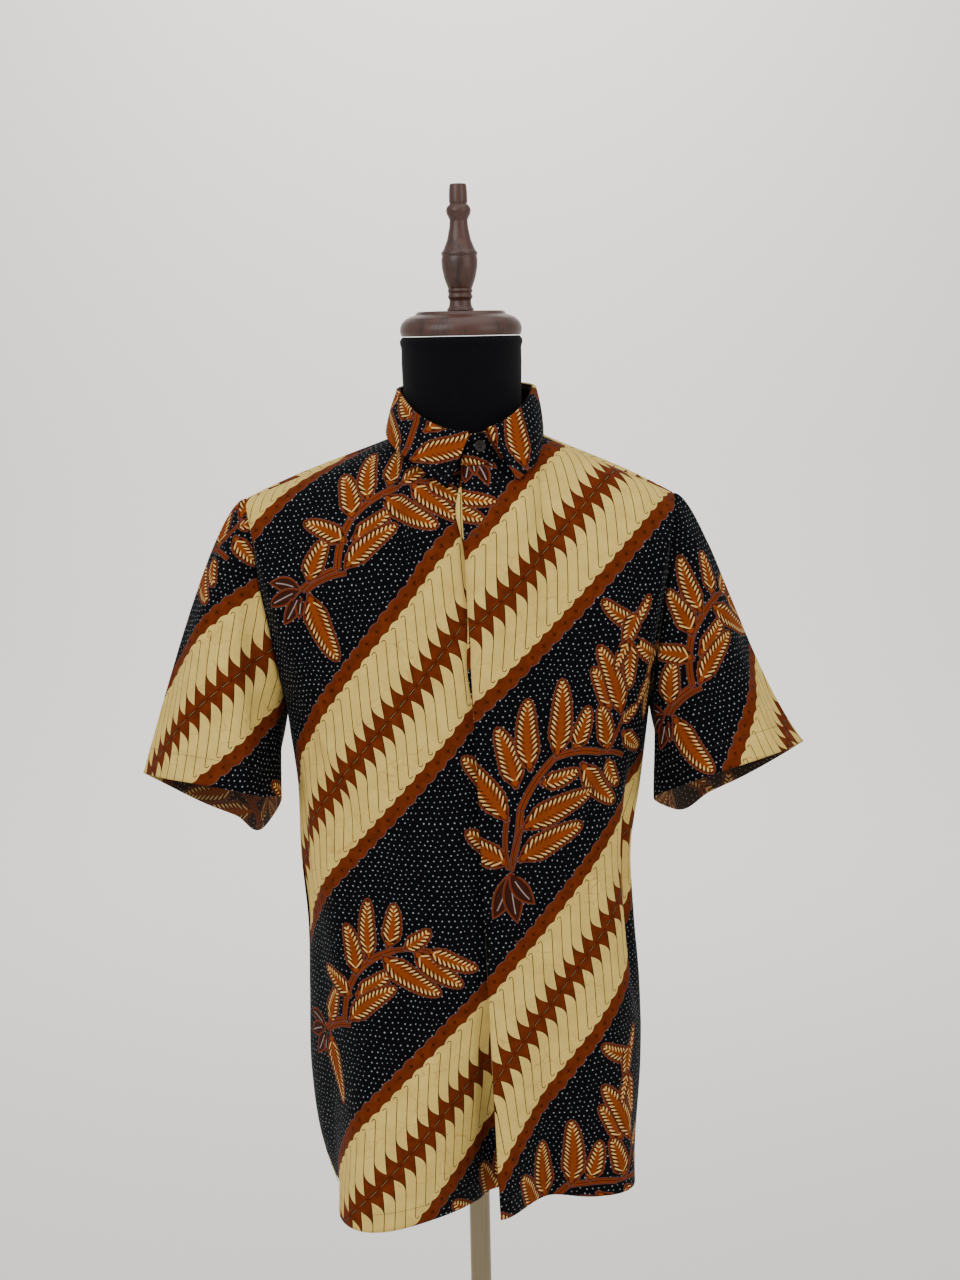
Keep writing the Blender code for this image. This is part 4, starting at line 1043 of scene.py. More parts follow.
add(band, "cream age", "TexNoise", {"Vector": "in", "Scale": 0.05, "Detail": 4.0})
for name, mask, under, over in (
    ("rust", "rust dye:Fac", RUST_DARK, RUST),
    ("cream aged", "cream age", CREAM_AGED, CREAM),
    ("cream tone", "crack seen", "cream aged:2", OCHRE_CRACK),
    ("blade field", "cream", "rust:2", "cream tone:2"),
    ("with lines", "drawn", "blade field:2", BROWN_LINE),
    ("with rope", "rope drawn", "with lines:2", BROWN_LINE),
    ("with dashes", "dash light", "with rope:2", ROPE_DASH),
    ("with border", "in cream field", "rust:2", "with dashes:2"),
    ("with inner line", "inner line", "with border:2", RUST_DARK),
    ("with crosses", "cross", "with inner line:2", BROWN_LINE),
    ("with edge", "edge line", "with crosses:2", MAUVE_LINE),
):
    add(band, name, "Mix", {0: mask, 6: under, 7: over}, data_type="RGBA")
add(band, "out", "NodeGroupOutput", ["with edge:2", "cover"])

# Leaf, stem or petal: its place in the UV map holds its length and half width in whole millimetres, and
# after the point the place within it, in metres. A half width under 4 is a stem's, from 30 a petal's.
PETAL = 30
ALONG_START, ACROSS_START = 0.1, 0.5
leaf = new_group("leaf and stem", [("Colour", "Color"), ("Cover", "Float")])
add(leaf, "axes", "SeparateXYZ", ["in"])
for name, operation, *terms in (
    ("length", "FLOOR", "axes:0"),
    ("u part", "SUBTRACT", "axes:0", "length"),
    ("u", "MULTIPLY_ADD", "u part", 1000.0, -1000 * ALONG_START),
    ("size", "FLOOR", "axes:1"),
    ("v part", "SUBTRACT", "axes:1", "size"),
    ("v", "MULTIPLY_ADD", "v part", 1000.0, -1000 * ACROSS_START),
    ("a", "ABSOLUTE", "v"),
    ("petal", "GREATER_THAN", "size", PETAL - 0.5),
    ("stem", "LESS_THAN", "size", 3.5),
    ("half", "MULTIPLY_ADD", "petal", -PETAL, "size"),
    ("safe length", "MAXIMUM", "length", 1.0),
    ("r raw", "DIVIDE", "u", "safe length"),
    ("r low", "MAXIMUM", "r raw", 0.0),
    ("r", "MINIMUM", "r low", 1.0),
    # leaf outline: drawn in at the foot, widest in its lower half, then a taper to a round tip
    ("foot raw", "MULTIPLY_ADD", "r", 3.3, 0.1),
    ("foot", "SMOOTH_MIN", "foot raw", 1.0, 0.4),
    ("taper", "MULTIPLY_ADD", "r", -0.42, 1.12),
    ("r high", "POWER", "r", 6.0),
    ("tip left", "SUBTRACT", 1.0, "r high"),
    ("tip", "POWER", "tip left", 0.5),
    ("foot and taper", "MULTIPLY", "foot", "taper"),
    ("leaf form", "MULTIPLY", "foot and taper", "tip"),
    ("petal turn", "MULTIPLY", "r", math.pi),
    ("petal sine", "SINE", "petal turn"),
    ("petal form", "POWER", "petal sine", 0.9),
    ("form 1", "SUBTRACT", "petal form", "leaf form"),
    ("form 2", "MULTIPLY_ADD", "form 1", "petal", "leaf form"),
    ("form 3", "MULTIPLY_ADD", "form 2", -1.0, 1.0),
    ("form", "MULTIPLY_ADD", "form 3", "stem", "form 2"),
    ("chevron", "MULTIPLY_ADD", "a", -0.9, "u"),
    ("drop turn", "DIVIDE", "chevron", DROP_PITCH),
    ("drop part", "FRACT", "drop turn"),
    ("drop off", "SUBTRACT", "drop part", 0.5),
    ("c", "ABSOLUTE", "drop off"),
    ("edge wave", "MULTIPLY_ADD", "c", -2.4, 0.6),
    ("plain", "MAXIMUM", "petal", "stem"),
    ("leafy", "SUBTRACT", 1.0, "plain"),
    ("wave", "MULTIPLY", "edge wave", "leafy"),
    ("half here", "MULTIPLY_ADD", "form", "half", "wave"),
    ("e side", "SUBTRACT", "half here", "a"),
    ("to tip", "SUBTRACT", "length", "u"),
    ("e tip", "MINIMUM", "to tip", "u"),
    ("e", "MINIMUM", "e side", "e tip"),
    ("cover", "GREATER_THAN", "e", -OUTLINE),
    ("on body", "GREATER_THAN", "e", 0.0),
    ("past rim", "GREATER_THAN", "e", RIM),
    ("past line", "GREATER_THAN", "e", RIM + RIM_LINE),
    # wax drops: round and wide at the outer end, then a long tail towards the midrib
    ("drop in", "MULTIPLY_ADD", "e", 1 / DROP_LENGTH, -(RIM + RIM_LINE) / DROP_LENGTH),
    ("drop in 0", "MAXIMUM", "drop in", 0.0),
    ("drop left", "SUBTRACT", 1.0, "drop in 0"),
    ("drop left 0", "MAXIMUM", "drop left", 0.0),
    ("drop tail", "POWER", "drop left 0", 1.3),
    ("drop head", "POWER", "drop in 0", 0.5),
    ("drop form", "MULTIPLY", "drop head", "drop tail"),
    ("drop half", "MULTIPLY", "drop form", 2.6 * DROP_HALF_WIDTH),
    ("past foot", "GREATER_THAN", "r", 0.13),
    ("in drop row", "LESS_THAN", "c", "drop half"),
    ("in drop", "MULTIPLY", "in drop row", "past foot"),
    ("drop outline", "MULTIPLY_ADD", "drop left 0", DROP_OUTLINE, "drop half"),
    ("dark near drop", "LESS_THAN", "c", "drop outline"),
    ("drop zone", "GREATER_THAN", "drop left 0", 0.0),
    ("dark in row", "MULTIPLY", "dark near drop", "drop zone"),
    ("dark in zone", "MULTIPLY", "dark in row", "past foot"),
    ("vein", "GREATER_THAN", "c", VEIN_FROM),
    ("off midrib", "GREATER_THAN", "a", MIDRIB),
    ("vein seen", "MULTIPLY", "vein", "off midrib"),
    ("petal stroke", "LESS_THAN", "a", 0.55),
    ("stroke low", "GREATER_THAN", "r", 0.25),
    ("stroke high", "LESS_THAN", "r", 0.82),
    ("stroke part", "MULTIPLY", "stroke low", "stroke high"),
    ("stroke", "MULTIPLY", "petal stroke", "stroke part"),
    # stems: a rust strand between dark lines, with a darker line along its middle
    ("stem core", "GREATER_THAN", "e", 0.35),
    ("stem middle", "LESS_THAN", "a", 0.32),
):
    add(leaf, name, "Math", terms, operation=operation)
for name, mask, under, over in (
    ("flesh", "vein seen", LEAF_ORANGE, BROWN_LINE),
    ("between drops", "dark in zone", "flesh:2", BROWN_LINE),
    ("drops", "in drop", "between drops:2", DROP_CREAM),
    ("petal heart", "stroke", PETAL_RED, PETAL_LINE),
    ("heart", "petal", "drops:2", "petal heart:2"),
    ("line", "past line", BROWN_LINE, "heart:2"),
    ("rim", "past rim", LEAF_DEEP, "line:2"),
    ("outline", "on body", MAUVE_LINE, "rim:2"),
    ("stem strand", "stem middle", RUST, BROWN_LINE),
    ("stem flesh", "stem core", BROWN_LINE, "stem strand:2"),
    ("stem outline", "on body", MAUVE_LINE, "stem flesh:2"),
    ("whole", "stem", "outline:2", "stem outline:2"),
):
    add(leaf, name, "Mix", {0: mask, 6: under, 7: over}, data_type="RGBA")
add(leaf, "out", "NodeGroupOutput", ["whole:2", "cover"])


# Batik cotton
# All the shirt's pieces are cut from one light plain weave, waxed and dyed by hand. It is matt, with the
# print gone through to a duller wrong side, and it draws in a little along its seams.
THREAD = 0.45  # millimetres; drawn twice as coarse as the real yarn so that it shows
WAVE = 0.31  # period of a wave texture of scale 1
DULLING = 0.45  # how far the wrong side is greyed
DRAWN_IN = 1.6  # millimetres either side of a row of stitches
LAYERS = ("leaf_a", "leaf_b", "leaf_c")
LEAF_MARGIN, FOOT_MARGIN, SEARCH_MARGIN = 5, 3, 12  # millimetres round a leaf where faces take it up
PATH_STEPS = 16


def batik(name, dull):
    """The printed cotton. A dull one is the print seen from the wrong side of the cloth."""
    made, tree = new_material(name)
    add(tree, "cloth place", "UVMap", uv_map="cloth")
    add(tree, "in mm", "VectorMath", {0: "cloth place", 3: 1000.0}, operation="SCALE")
    add(tree, "ground", "Group", {}, node_tree=ground)
    add(tree, "band", "Group", {}, node_tree=band)
    for group in ("ground", "band"):
        tree.links.new(tree.nodes["in mm"].outputs[0], tree.nodes[group].inputs[0])
    add(tree, "print", "Mix", {0: "band:1", 6: "ground:0", 7: "band:0"}, data_type="RGBA")
    last = "print:2"
    for layer in LAYERS:
        add(tree, layer + " place", "UVMap", uv_map=layer)
        add(tree, layer, "Group", {}, node_tree=leaf)
        tree.links.new(tree.nodes[layer + " place"].outputs[0], tree.nodes[layer].inputs[0])
        add(tree, layer + " on", "Mix", {0: layer + ":1", 6: last, 7: layer + ":0"}, data_type="RGBA")
        last = layer + " on:2"
    # threads over and under, a little slack here and there, and a slightly uneven dye
    add(tree, "threads", "TexWave", {"Vector": "in mm", "Scale": WAVE / THREAD}, bands_direction="X")
    add(tree, "picks", "TexWave", {"Vector": "in mm", "Scale": WAVE / THREAD}, bands_direction="Y")
    add(tree, "weave", "Math", ["threads:Fac", "picks:Fac"], operation="MULTIPLY")
    add(tree, "slack", "TexNoise", {"Vector": "in mm", "Scale": 0.06, "Detail": 4.0})
    add(tree, "from stitch", "Attribute", attribute_name="from_stitch")
    add(tree, "stitch gap", "Math", ["from stitch:Fac"], operation="ABSOLUTE")
    pull = {"From Max": DRAWN_IN, "To Min": -4.0, "To Max": 0.0}
    add(tree, "drawn in", "MapRange", {"Value": "stitch gap", **pull})
    add(tree, "cloth height", "Math", ["slack:Fac", 1.6, "weave"], operation="MULTIPLY_ADD")
    add(tree, "surface", "Math", ["cloth height", "drawn in"], operation="ADD")
    add(tree, "relief", "Bump", {"Height": "surface", "Strength": 0.22, "Distance": 0.0004})
    wear = {"From Min": 0.3, "From Max": 0.7, "To Min": 0.90, "To Max": 1.06}
    add(tree, "wear", "MapRange", {"Value": "slack:Fac", **wear})
    add(tree, "worn", "VectorMath", {0: last, 3: "wear"}, operation="SCALE")
    grey = DULLING if dull else 0.0
    add(tree, "faded", "Mix", {0: grey, 6: "worn:0", 7: "#4a3a30"}, data_type="RGBA")
    add(
        tree,
        "cotton",
        "BsdfPrincipled",
        {
            "Base Color": "faded:2",
            "Roughness": 0.82,
            "Normal": "relief",
            "Specular IOR Level": 0.07,
            "Sheen Weight": 0.015,
            "Sheen Roughness": 0.45,
        },
    )
    add(tree, "out", "OutputMaterial", {"Surface": "cotton"})
    return made


cotton = batik("batik cotton", False)
cotton_inside = batik("batik cotton, wrong side", True)

# Sprays of the print: each leaf, stem or petal runs from one point to another, bowed sideways. Places are
# millimetres right of and above the spray's own foot.
Stroke = namedtuple("Stroke", "x y to_x to_y bow width")
SPRAY_LOW = (
    Stroke(0, 0, 10, 56, 4, 3), Stroke(10, 56, 41, 104, -6, 3), Stroke(41, 104, 88, 106, -8, 3),
    Stroke(88, 106, 120, 98, -4, 2), Stroke(-2, 2, -2, 50, -5, 2), Stroke(2, 4, 12, 40, -4, 2),
    Stroke(96, 106, 116, 140, 6, 2),
    Stroke(0, 6, -52, 37, -5, 12), Stroke(-2, 46, -52, 106, 5, 13), Stroke(6, 76, -14, 132, 4, 12),
    Stroke(19, 92, 14, 160, -5, 12), Stroke(43, 104, 45, 178, 5, 12), Stroke(60, 110, 73, 152, 4, 10),
    Stroke(97, 106, 85, 152, 4, 11), Stroke(97, 146, 74, 188, 4, 10), Stroke(112, 140, 79, 208, 6, 12),
    Stroke(114, 132, 136, 148, 3, 8), Stroke(117, 122, 152, 100, 4, 9), Stroke(28, 80, 66, 92, 4, 9),
    Stroke(68, 98, 110, 53, 6, 12), Stroke(98, 98, 114, 69, 4, 9), Stroke(12, 38, 84, 70, -6, 13),
    Stroke(8, 8, 73, 38, -6, 13),
    Stroke(0, -2, -18, -45, -4, PETAL + 9), Stroke(0, -2, 5, -51, 2, PETAL + 9),
    Stroke(0, -2, 22, -34, 4, PETAL + 8),
)
SPRAY_HIGH = (
    Stroke(0, 0, 36, 16, -4, 3), Stroke(36, 16, 50, 62, -6, 3), Stroke(50, 62, 91, 90, -8, 3),
    Stroke(91, 90, 126, 90, -4, 2), Stroke(4, -2, 44, 12, -6, 2),
    Stroke(8, 6, 27, 45, -4, 11), Stroke(46, 40, 4, 63, 4, 10), Stroke(51, 62, 39, 112, 5, 11),
    Stroke(66, 78, 65, 140, -6, 10), Stroke(84, 92, 90, 136, 4, 10), Stroke(51, 42, 88, 70, 4, 10),
    Stroke(43, 16, 94, 54, -6, 11), Stroke(7, -4, 30, -68, 6, 13), Stroke(79, 84, 137, 48, 6, 12),
    Stroke(110, 90, 158, 56, 5, 11), Stroke(100, 92, 125, 112, 4, 9), Stroke(122, 92, 172, 72, 4, 9),
    Stroke(-1, 0, -32, 10, 4, PETAL + 7), Stroke(-1, 0, -36, -12, 2, PETAL + 7),
    Stroke(-1, -1, -22, -30, -2, PETAL + 7), Stroke(0, -2, -6, -26, 0, PETAL + 5),
)
SPRAY_SMALL = (
    Stroke(2, 16, -34, 38, -6, 9), Stroke(0, 14, 16, 44, 4, 6), Stroke(4, 26, -6, -6, 4, 10),
    Stroke(0, 0, 4, -48, 4, 9), Stroke(-2, 2, -16, -30, 3, 7),
)
SPRAY_COLLAR = (
    Stroke(0, 0, -15, -24, 2, PETAL + 6), Stroke(0, 0, 5, -33, -2, PETAL + 6),
    Stroke(0, 0, 17, -16, -2, PETAL + 5), Stroke(0, 0, -4, -20, 0, PETAL + 4),
)
Spray = namedtuple("Spray", "strokes x y")
SPRAYS = (
    Spray(SPRAY_HIGH, -149, 176), Spray(SPRAY_HIGH, -171, -260), Spray(SPRAY_HIGH, -149, 612),
    Spray(SPRAY_LOW, 41, -92), Spray(SPRAY_LOW, 41, 344), Spray(SPRAY_LOW, 41, -528),
    Spray(SPRAY_SMALL, 156, 120), Spray(SPRAY_SMALL, 156, -316), Spray(SPRAY_SMALL, -222, 84),
    Spray(SPRAY_COLLAR, 12, 298),
)


def stroke_place(stroke, points):
    """Along, across and reach of points in a stroke's own measure, in millimetres."""
    start, end = np.array([stroke.x, stroke.y], float), np.array([stroke.to_x, stroke.to_y], float)
    chord = end - start
    side = np.array([-chord[1], chord[0]]) / np.linalg.norm(chord)
    middle = (start + end) / 2 - side * stroke.bow
    path = arc(start, middle, end, np.linspace(0, 1, PATH_STEPS + 1)[:, None])
    steps = np.diff(path, axis=0)
    lengths = np.linalg.norm(steps, axis=1)
    starts = np.concatenate([[0], np.cumsum(lengths)[:-1]])
    offset = points[:, None, :] - path[None, :-1, :]
    along = (offset * steps).sum(2) / lengths
    held = np.clip(along, 0, lengths)
    held[:, 0] = np.minimum(along, lengths)[:, 0]
    held[:, -1] = np.maximum(along, 0)[:, -1]
    gap = np.linalg.norm(offset - held[:, :, None] * (steps / lengths[:, None])[None], axis=2)
    near = gap.argmin(1)
    row = np.arange(len(points))
    cross = steps[near, 0] * offset[row, near, 1] - steps[near, 1] * offset[row, near, 0]
    return starts[near] + held[row, near], np.sign(cross) * gap[row, near], lengths.sum()


def values_of(items, field, width=1, kind=float):
    """One field of all the items of a mesh, as an array."""
    values = np.zeros(len(items) * width, kind)
    items.foreach_get(field, values)
    return values.reshape(-1, width) if width > 1 else values


def printed(mesh, flat):
    """Gives a cloth mesh its UV maps: the place in the print, and up to three leaves over each face."""
    corners = values_of(mesh.loops, "vertex_index", kind=int)
    maps = {name: np.zeros((len(corners), 2)) for name in LAYERS}
    quads = corners.reshape(-1, 4)
    centres = flat[quads].mean(1) * 1000
    used = np.zeros(len(quads), int)
    placings = [
        (np.array([spray.x + right * REPEAT_ACROSS, spray.y]), stroke)
        for spray in SPRAYS
        for right in (-1, 0, 1)
        for stroke in spray.strokes
    ]
    for foot, stroke in placings:
        width = stroke.width % PETAL
        centre = foot + np.array([stroke.x + stroke.to_x, stroke.y + stroke.to_y]) / 2
        reach = math.hypot(stroke.to_x - stroke.x, stroke.to_y - stroke.y) / 2 + width + SEARCH_MARGIN
        near = np.flatnonzero((np.linalg.norm(centres - centre, axis=1) < reach) & (used < len(LAYERS)))
        if not len(near):
            continue
        along, across, length = stroke_place(stroke, centres[near] - foot)
        beside = np.abs(across) < width + LEAF_MARGIN
        near = near[beside & (along > -FOOT_MARGIN) & (along < length + LEAF_MARGIN)]
        if not len(near):
            continue
        along, across, length = stroke_place(stroke, flat[quads[near]].reshape(-1, 2) * 1000 - foot)
        u = round(length) + ALONG_START + along / 1000
        v = stroke.width + ACROSS_START + across / 1000
        values = np.stack([u, v], axis=1).reshape(-1, 4, 2)
        for layer, name in enumerate(LAYERS):
            here = used[near] == layer
            maps[name].reshape(-1, 4, 2)[near[here]] = values[here]
        used[near] += 1
    maps["cloth"] = flat[corners]
    for name, values in maps.items():
        layer = mesh.uv_layers.get(name) or mesh.uv_layers.new(name=name)
        layer.data.foreach_set("uv", values.ravel())
    mesh.update()


def flattened(piece, guide, weight):
    """Lays a cloth mesh flat with the least stretch, then turns and shifts it onto a guide."""
    mesh = piece.data
    mesh.uv_layers.new(name="cloth")
    bpy.context.view_layer.objects.active = piece
    piece.select_set(True)
    bpy.ops.object.mode_set(mode="EDIT")
    bpy.ops.mesh.select_all(action="SELECT")
    bpy.ops.uv.unwrap(method="MINIMUM_STRETCH", margin=0)
    bpy.ops.object.mode_set(mode="OBJECT")
    piece.select_set(False)
    flat = np.zeros((len(mesh.vertices), 2))
    flat[values_of(mesh.loops, "vertex_index", kind=int)] = values_of(mesh.uv_layers["cloth"].data, "uv", 2)
    ends = values_of(mesh.edges, "vertices", 2, int).T
    points = values_of(mesh.vertices, "co", 3)
    real, drawn = (np.linalg.norm(place[ends[0]] - place[ends[1]], axis=1) for place in (points, flat))
    flat *= np.median(real / drawn)
    weight = weight / weight.sum()
    middle, aim = (flat * weight[:, None]).sum(0), (guide * weight[:, None]).sum(0)
    spread = ((flat - middle) * weight[:, None]).T @ (guide - aim)
    first, _, second = np.linalg.svd(spread)
    return (flat - middle) @ (first @ second) + aim


def cloth(name, node, grid, flip, guide, weight, from_stitch=None, slot="batik_cotton"):
    """A piece of printed cotton on a grid of points, with its print and thickness, in place of a solid."""
    mesh = sheet_mesh(grid, flip)
    away = mesh.attributes.new("from_stitch", "FLOAT", "POINT")
    gaps = np.full(grid.shape[:2], 1.0) if from_stitch is None else from_stitch
    away.data.foreach_set("value", (gaps * 1000).ravel())
    piece = placed(name, mesh, cotton, cotton_inside, smooth_below=70)
    flat = flattened(piece, guide.reshape(-1, 2), weight.ravel())
    printed(mesh, flat)
    wall = piece.modifiers.new("thickness", "SOLIDIFY")
    wall.thickness = CLOTH
    wall.offset = -1
    wall.use_even_offset = False
    wall.material_offset = 1
    wall.material_offset_rim = 0
    dress(piece, slot, node)
    return piece


def from_rim(grid, rim):
    """Distance of each point from the first or last row, along the cloth."""
    steps = np.linalg.norm(np.diff(grid, axis=0), axis=2)
    if rim == "last row":
        return np.concatenate([np.cumsum(steps[::-1], axis=0)[::-1], np.zeros((1, grid.shape[1]))])
    return np.concatenate([np.zeros((1, grid.shape[1])), np.cumsum(steps, axis=0)])


# Machine stitches: matt brown polyester thread. Each stitch is a short bar that dips into the cloth at
# its ends: lift and swell are shares of the thread's radius.
STITCH, STITCH_GAP = 0.0024, 0.0009
THREAD_RADIUS = 0.00020
THREAD_SIDES = 6
Bend = namedtuple("Bend", "share lift swell")
STITCH_BENDS = (Bend(0.0, -0.6, 0.5), Bend(0.25, 0.7, 1.0), Bend(0.75, 0.7, 1.0), Bend(1.0, -0.6, 0.5))
thread, tree = new_material("sewing thread")
add(tree, "place", "TexCoord")
add(tree, "twist", "TexWave", {"Vector": "place:Object", "Scale": 900.0, "Distortion": 1.0})
add(tree, "tone", "Mix", {0: "twist:Fac", 6: "#1d120c", 7: "#3b281b"}, data_type="RGBA")
add(tree, "thread", "BsdfPrincipled", {"Base Color": "tone:2", "Roughness": 0.6})
add(tree, "out", "OutputMaterial", {"Surface": "thread"})


def stitches(name, lines, slot="batik_cotton"):
    """Rows of stitches as one piece. Each line is its points and the outward directions there."""
    mesh = bmesh.new()
    turns = [2 * math.pi * k / THREAD_SIDES for k in range(THREAD_SIDES)]
    for points, outward in lines:
        along = measured(points)
        total = along[-1]
        count = max(1, int(total / (STITCH + STITCH_GAP)))
        starts = np.arange(count) * total / count
        places = (starts[:, None] + column(STITCH_BENDS, "share") * STITCH) / total
        middles = spaced(points, places.ravel()).reshape(count, len(STITCH_BENDS), 3)
        rises = np.stack([np.interp(places, along / total, outward[:, k]) for k in range(3)], axis=-1)
        for stitch, rise in zip(middles, rises):
            ahead = stitch[-1] - stitch[0]
            ahead /= np.linalg.norm(ahead)
            up = rise[0] / np.linalg.norm(rise[0])
            side = np.cross(ahead, up)
            rings = []
            for middle, bend in zip(stitch, STITCH_BENDS):
                centre = middle + up * bend.lift * THREAD_RADIUS
                reach = bend.swell * THREAD_RADIUS
                rings.append([
                    mesh.verts.new(centre + reach * (side * math.cos(a) + up * math.sin(a))) for a in turns
                ])
            skin(mesh, rings[::-1])
            mesh.faces.new(rings[0][::-1])
            mesh.faces.new(rings[-1])
    piece = placed(name, mesh, thread)
    dress(piece, slot)
    return piece


def line_on(grid, distances, at, flip):
    """The line on a grid of cloth where a distance has a given value, column by column."""
    outward = normals(grid, flip)
    points, rises = [], []
    for k in range(grid.shape[1]):
        order = np.argsort(distances[:, k])
        steps = distances[order, k]
        points.append([np.interp(at, steps, grid[order, k, axis]) for axis in range(3)])
        rises.append([np.interp(at, steps, outward[order, k, axis]) for axis in range(3)])
    return np.array(points), np.array(rises)


PRINT_HEIGHT = 1.1  # of the print's own middle, on the fronts
FACE_ON, FACE_AWAY = 0.75, 0.001  # cloth counts from here on in laying the print; the least it counts


def seen_from(grid, sign=1):
    """Guide for laying a panel flat: level and height as seen from the front, or the back for -1."""
    places = np.stack([grid[:, :, 0] * sign, grid[:, :, 2] - PRINT_HEIGHT], axis=-1)
    return places, np.clip(np.abs(normals(grid)[:, :, 1]) - FACE_ON, FACE_AWAY, 1)


def sewn(node, grid, flip, guide, weight, rim, inset, seam="hem_stitches"):
    """A piece of cloth on a grid, and the row of stitches that runs at a distance from one of its edges."""
    gaps = from_rim(grid, rim)
    piece = cloth(node + "_cloth", node, grid, flip, guide, weight, gaps - inset)
    return piece, stitches(node + "_" + seam, [line_on(grid, gaps, inset, flip)])


HEM = 0.018  # from the body's edge up to its hem stitches
front_right, right_hem = sewn("front_right", right_front, False, *seen_from(right_front), "first row", HEM)
# bar tack that holds the strip at the opening: short rows of stitches close together
TACK_DROPS = (0.1774, 0.1780, 0.1786, 0.1792)
TACK_COLUMNS = 3
tack_lines = [line_on(right_front, right_front[:, :, 2], CAP_HEIGHT - drop, False) for drop in TACK_DROPS]
tack = stitches("opening_bar_tack", [(line[:TACK_COLUMNS], rise[:TACK_COLUMNS]) for line, rise in tack_lines])
# the right front as worn dips under the other one at the opening
edges = edge_x(CAP_HEIGHT - left_front[:, :, 2])
dip = UNDER * eased((left_front[:, :, 0] - edges + DIP_START) / DIP_WIDTH)
left_front = left_front - normals(left_front, True) * dip[:, :, None]
left_front = creased(left_front, True, "left front", -1, BODY_SEAMS)
front_left, left_hem = sewn("front_left", left_front, True, *seen_from(left_front), "first row", HEM)


# Strip inside the opening
# A folded strip of the same cotton, sewn behind the edge of the upper front, hides the buttons. Its edge
# shows in two places where the front pulls away.
STRIP_UNDER = 0.0020
STRIP_BACK = 0.022
STRIP_COLUMNS = 14  # of the front's grid that it lies behind
STRIP_CELLS = 8
STRIP_SHORT = 0.03  # above the hem
STRIP_TOP_ROWS = 3  # short of the neckline
STRIP_CUT_LOWER = 0.062  # cut from lower in the print than the front over it, so cream shows at the top
Peek = namedtuple("Peek", "drop height out")
PEEKS = (Peek(0.158, 0.022, 0.0062), Peek(0.300, 0.030, 0.0035))

rows = []
for row, outward in zip(right_front, normals(right_front)):
    drop = CAP_HEIGHT - row[0, 2]
    if drop > HEM_DROP - STRIP_SHORT:
        continue
    out = sum(peek.out * math.exp(-(((drop - peek.drop) / peek.height) ** 2)) for peek in PEEKS)
    first = row[0] + (row[0] - row[1]) / np.linalg.norm(row[0] - row[1]) * out
    behind = row[:STRIP_COLUMNS]
    far = [np.interp(STRIP_BACK, measured(behind), behind[:, k]) for k in range(3)]
    shares = np.linspace(0, 1, STRIP_CELLS + 1)[:, None]
    rows.append(first - outward[0] * STRIP_UNDER + (far - first) * shares)
strip_grid = np.array(rows)[:-STRIP_TOP_ROWS]
guide, weight = seen_from(strip_grid)
guide[:, :, 1] -= STRIP_CUT_LOWER
strip = cloth("fly_strip_cloth", "fly_strip", strip_grid, False, guide, weight, slot="pale_cotton")


# Back of the shirt
# One panel of the same cotton. It comes over the shoulders to seams a little in front of the ridge, and
# is sewn to the fronts there and down its sides.
BACK_CELLS = (14, 18, 20)  # across half the neckline, a shoulder and an armhole
BACK_POINTS = 240
BACK_RISE = 1.12


def back_section(drop, places):
    """One level of the back: from the left side seam round to the right one, as seen from the front."""
    row = body_row(drop)
    left = 2 * math.pi + side_angle(row, -1)
    right = side_angle(row, 1)
    angles = np.linspace(left, right, BACK_POINTS)
    points = np.array([oval(angle, row, drop) for angle in angles])
    return spaced(pushed(points, -measured(points)[-1] / 2, drop, "back"), places)


half = top_places(BACK_CELLS)
places = np.concatenate([(1 - half[::-1]) / 2, (1 + half[1:]) / 2])
high, run = (
    np.concatenate([shape(LEFT, half, -180.0, True)[::-1], shape(RIGHT, half, 180.0, True)[1:]])
    for shape in (top_edge, top_run)
)
back_panel = panel_grid(lambda drop: back_section(drop, places), high, run, BACK_RISE)
back_panel = creased(back_panel, True, "back", 1, ("last row", "first column", "last column"))
back, back_hem = sewn("back", back_panel, True, *seen_from(back_panel, -1), "first row", HEM)


# Sleeves
# Two short set-in sleeves, each one piece with a single seam under the arm, hemmed at the opening. They
# are dropped a little off the shoulder and hang open, with no arm in them.
SLEEVE_COLUMNS = 132
SLEEVE_ROWS = 66
SEAM = 0.0005
Rim = namedtuple("Rim", "way x y drop")
SLEEVE_RIM = {
    "left": (
        Rim(0.00, -0.3170, -0.030, 0.412),
        Rim(0.13, -0.2870, -0.075, 0.408),
        Rim(0.25, -0.2390, -0.092, 0.413),
        Rim(0.38, -0.1960, -0.076, 0.427),
        Rim(0.44, -0.1820, -0.044, 0.437),
        Rim(0.50, -0.2070, 0.014, 0.480),
        Rim(0.62, -0.2380, 0.040, 0.474),
        Rim(0.75, -0.2720, 0.045, 0.461),
        Rim(0.89, -0.3050, 0.014, 0.433),
        Rim(1.00, -0.3170, -0.030, 0.412),
    ),
    "right": (
        Rim(0.00, 0.3270, -0.010, 0.398),
        Rim(0.13, 0.2940, -0.060, 0.398),
        Rim(0.25, 0.2480, -0.082, 0.407),
        Rim(0.38, 0.2020, -0.076, 0.424),
        Rim(0.44, 0.1765, -0.042, 0.444),
        Rim(0.50, 0.2050, 0.024, 0.473),
        Rim(0.62, 0.2420, 0.050, 0.462),
        Rim(0.75, 0.2780, 0.052, 0.446),
        Rim(0.89, 0.3130, 0.028, 0.419),
        Rim(1.00, 0.3270, -0.010, 0.398),
    ),
}
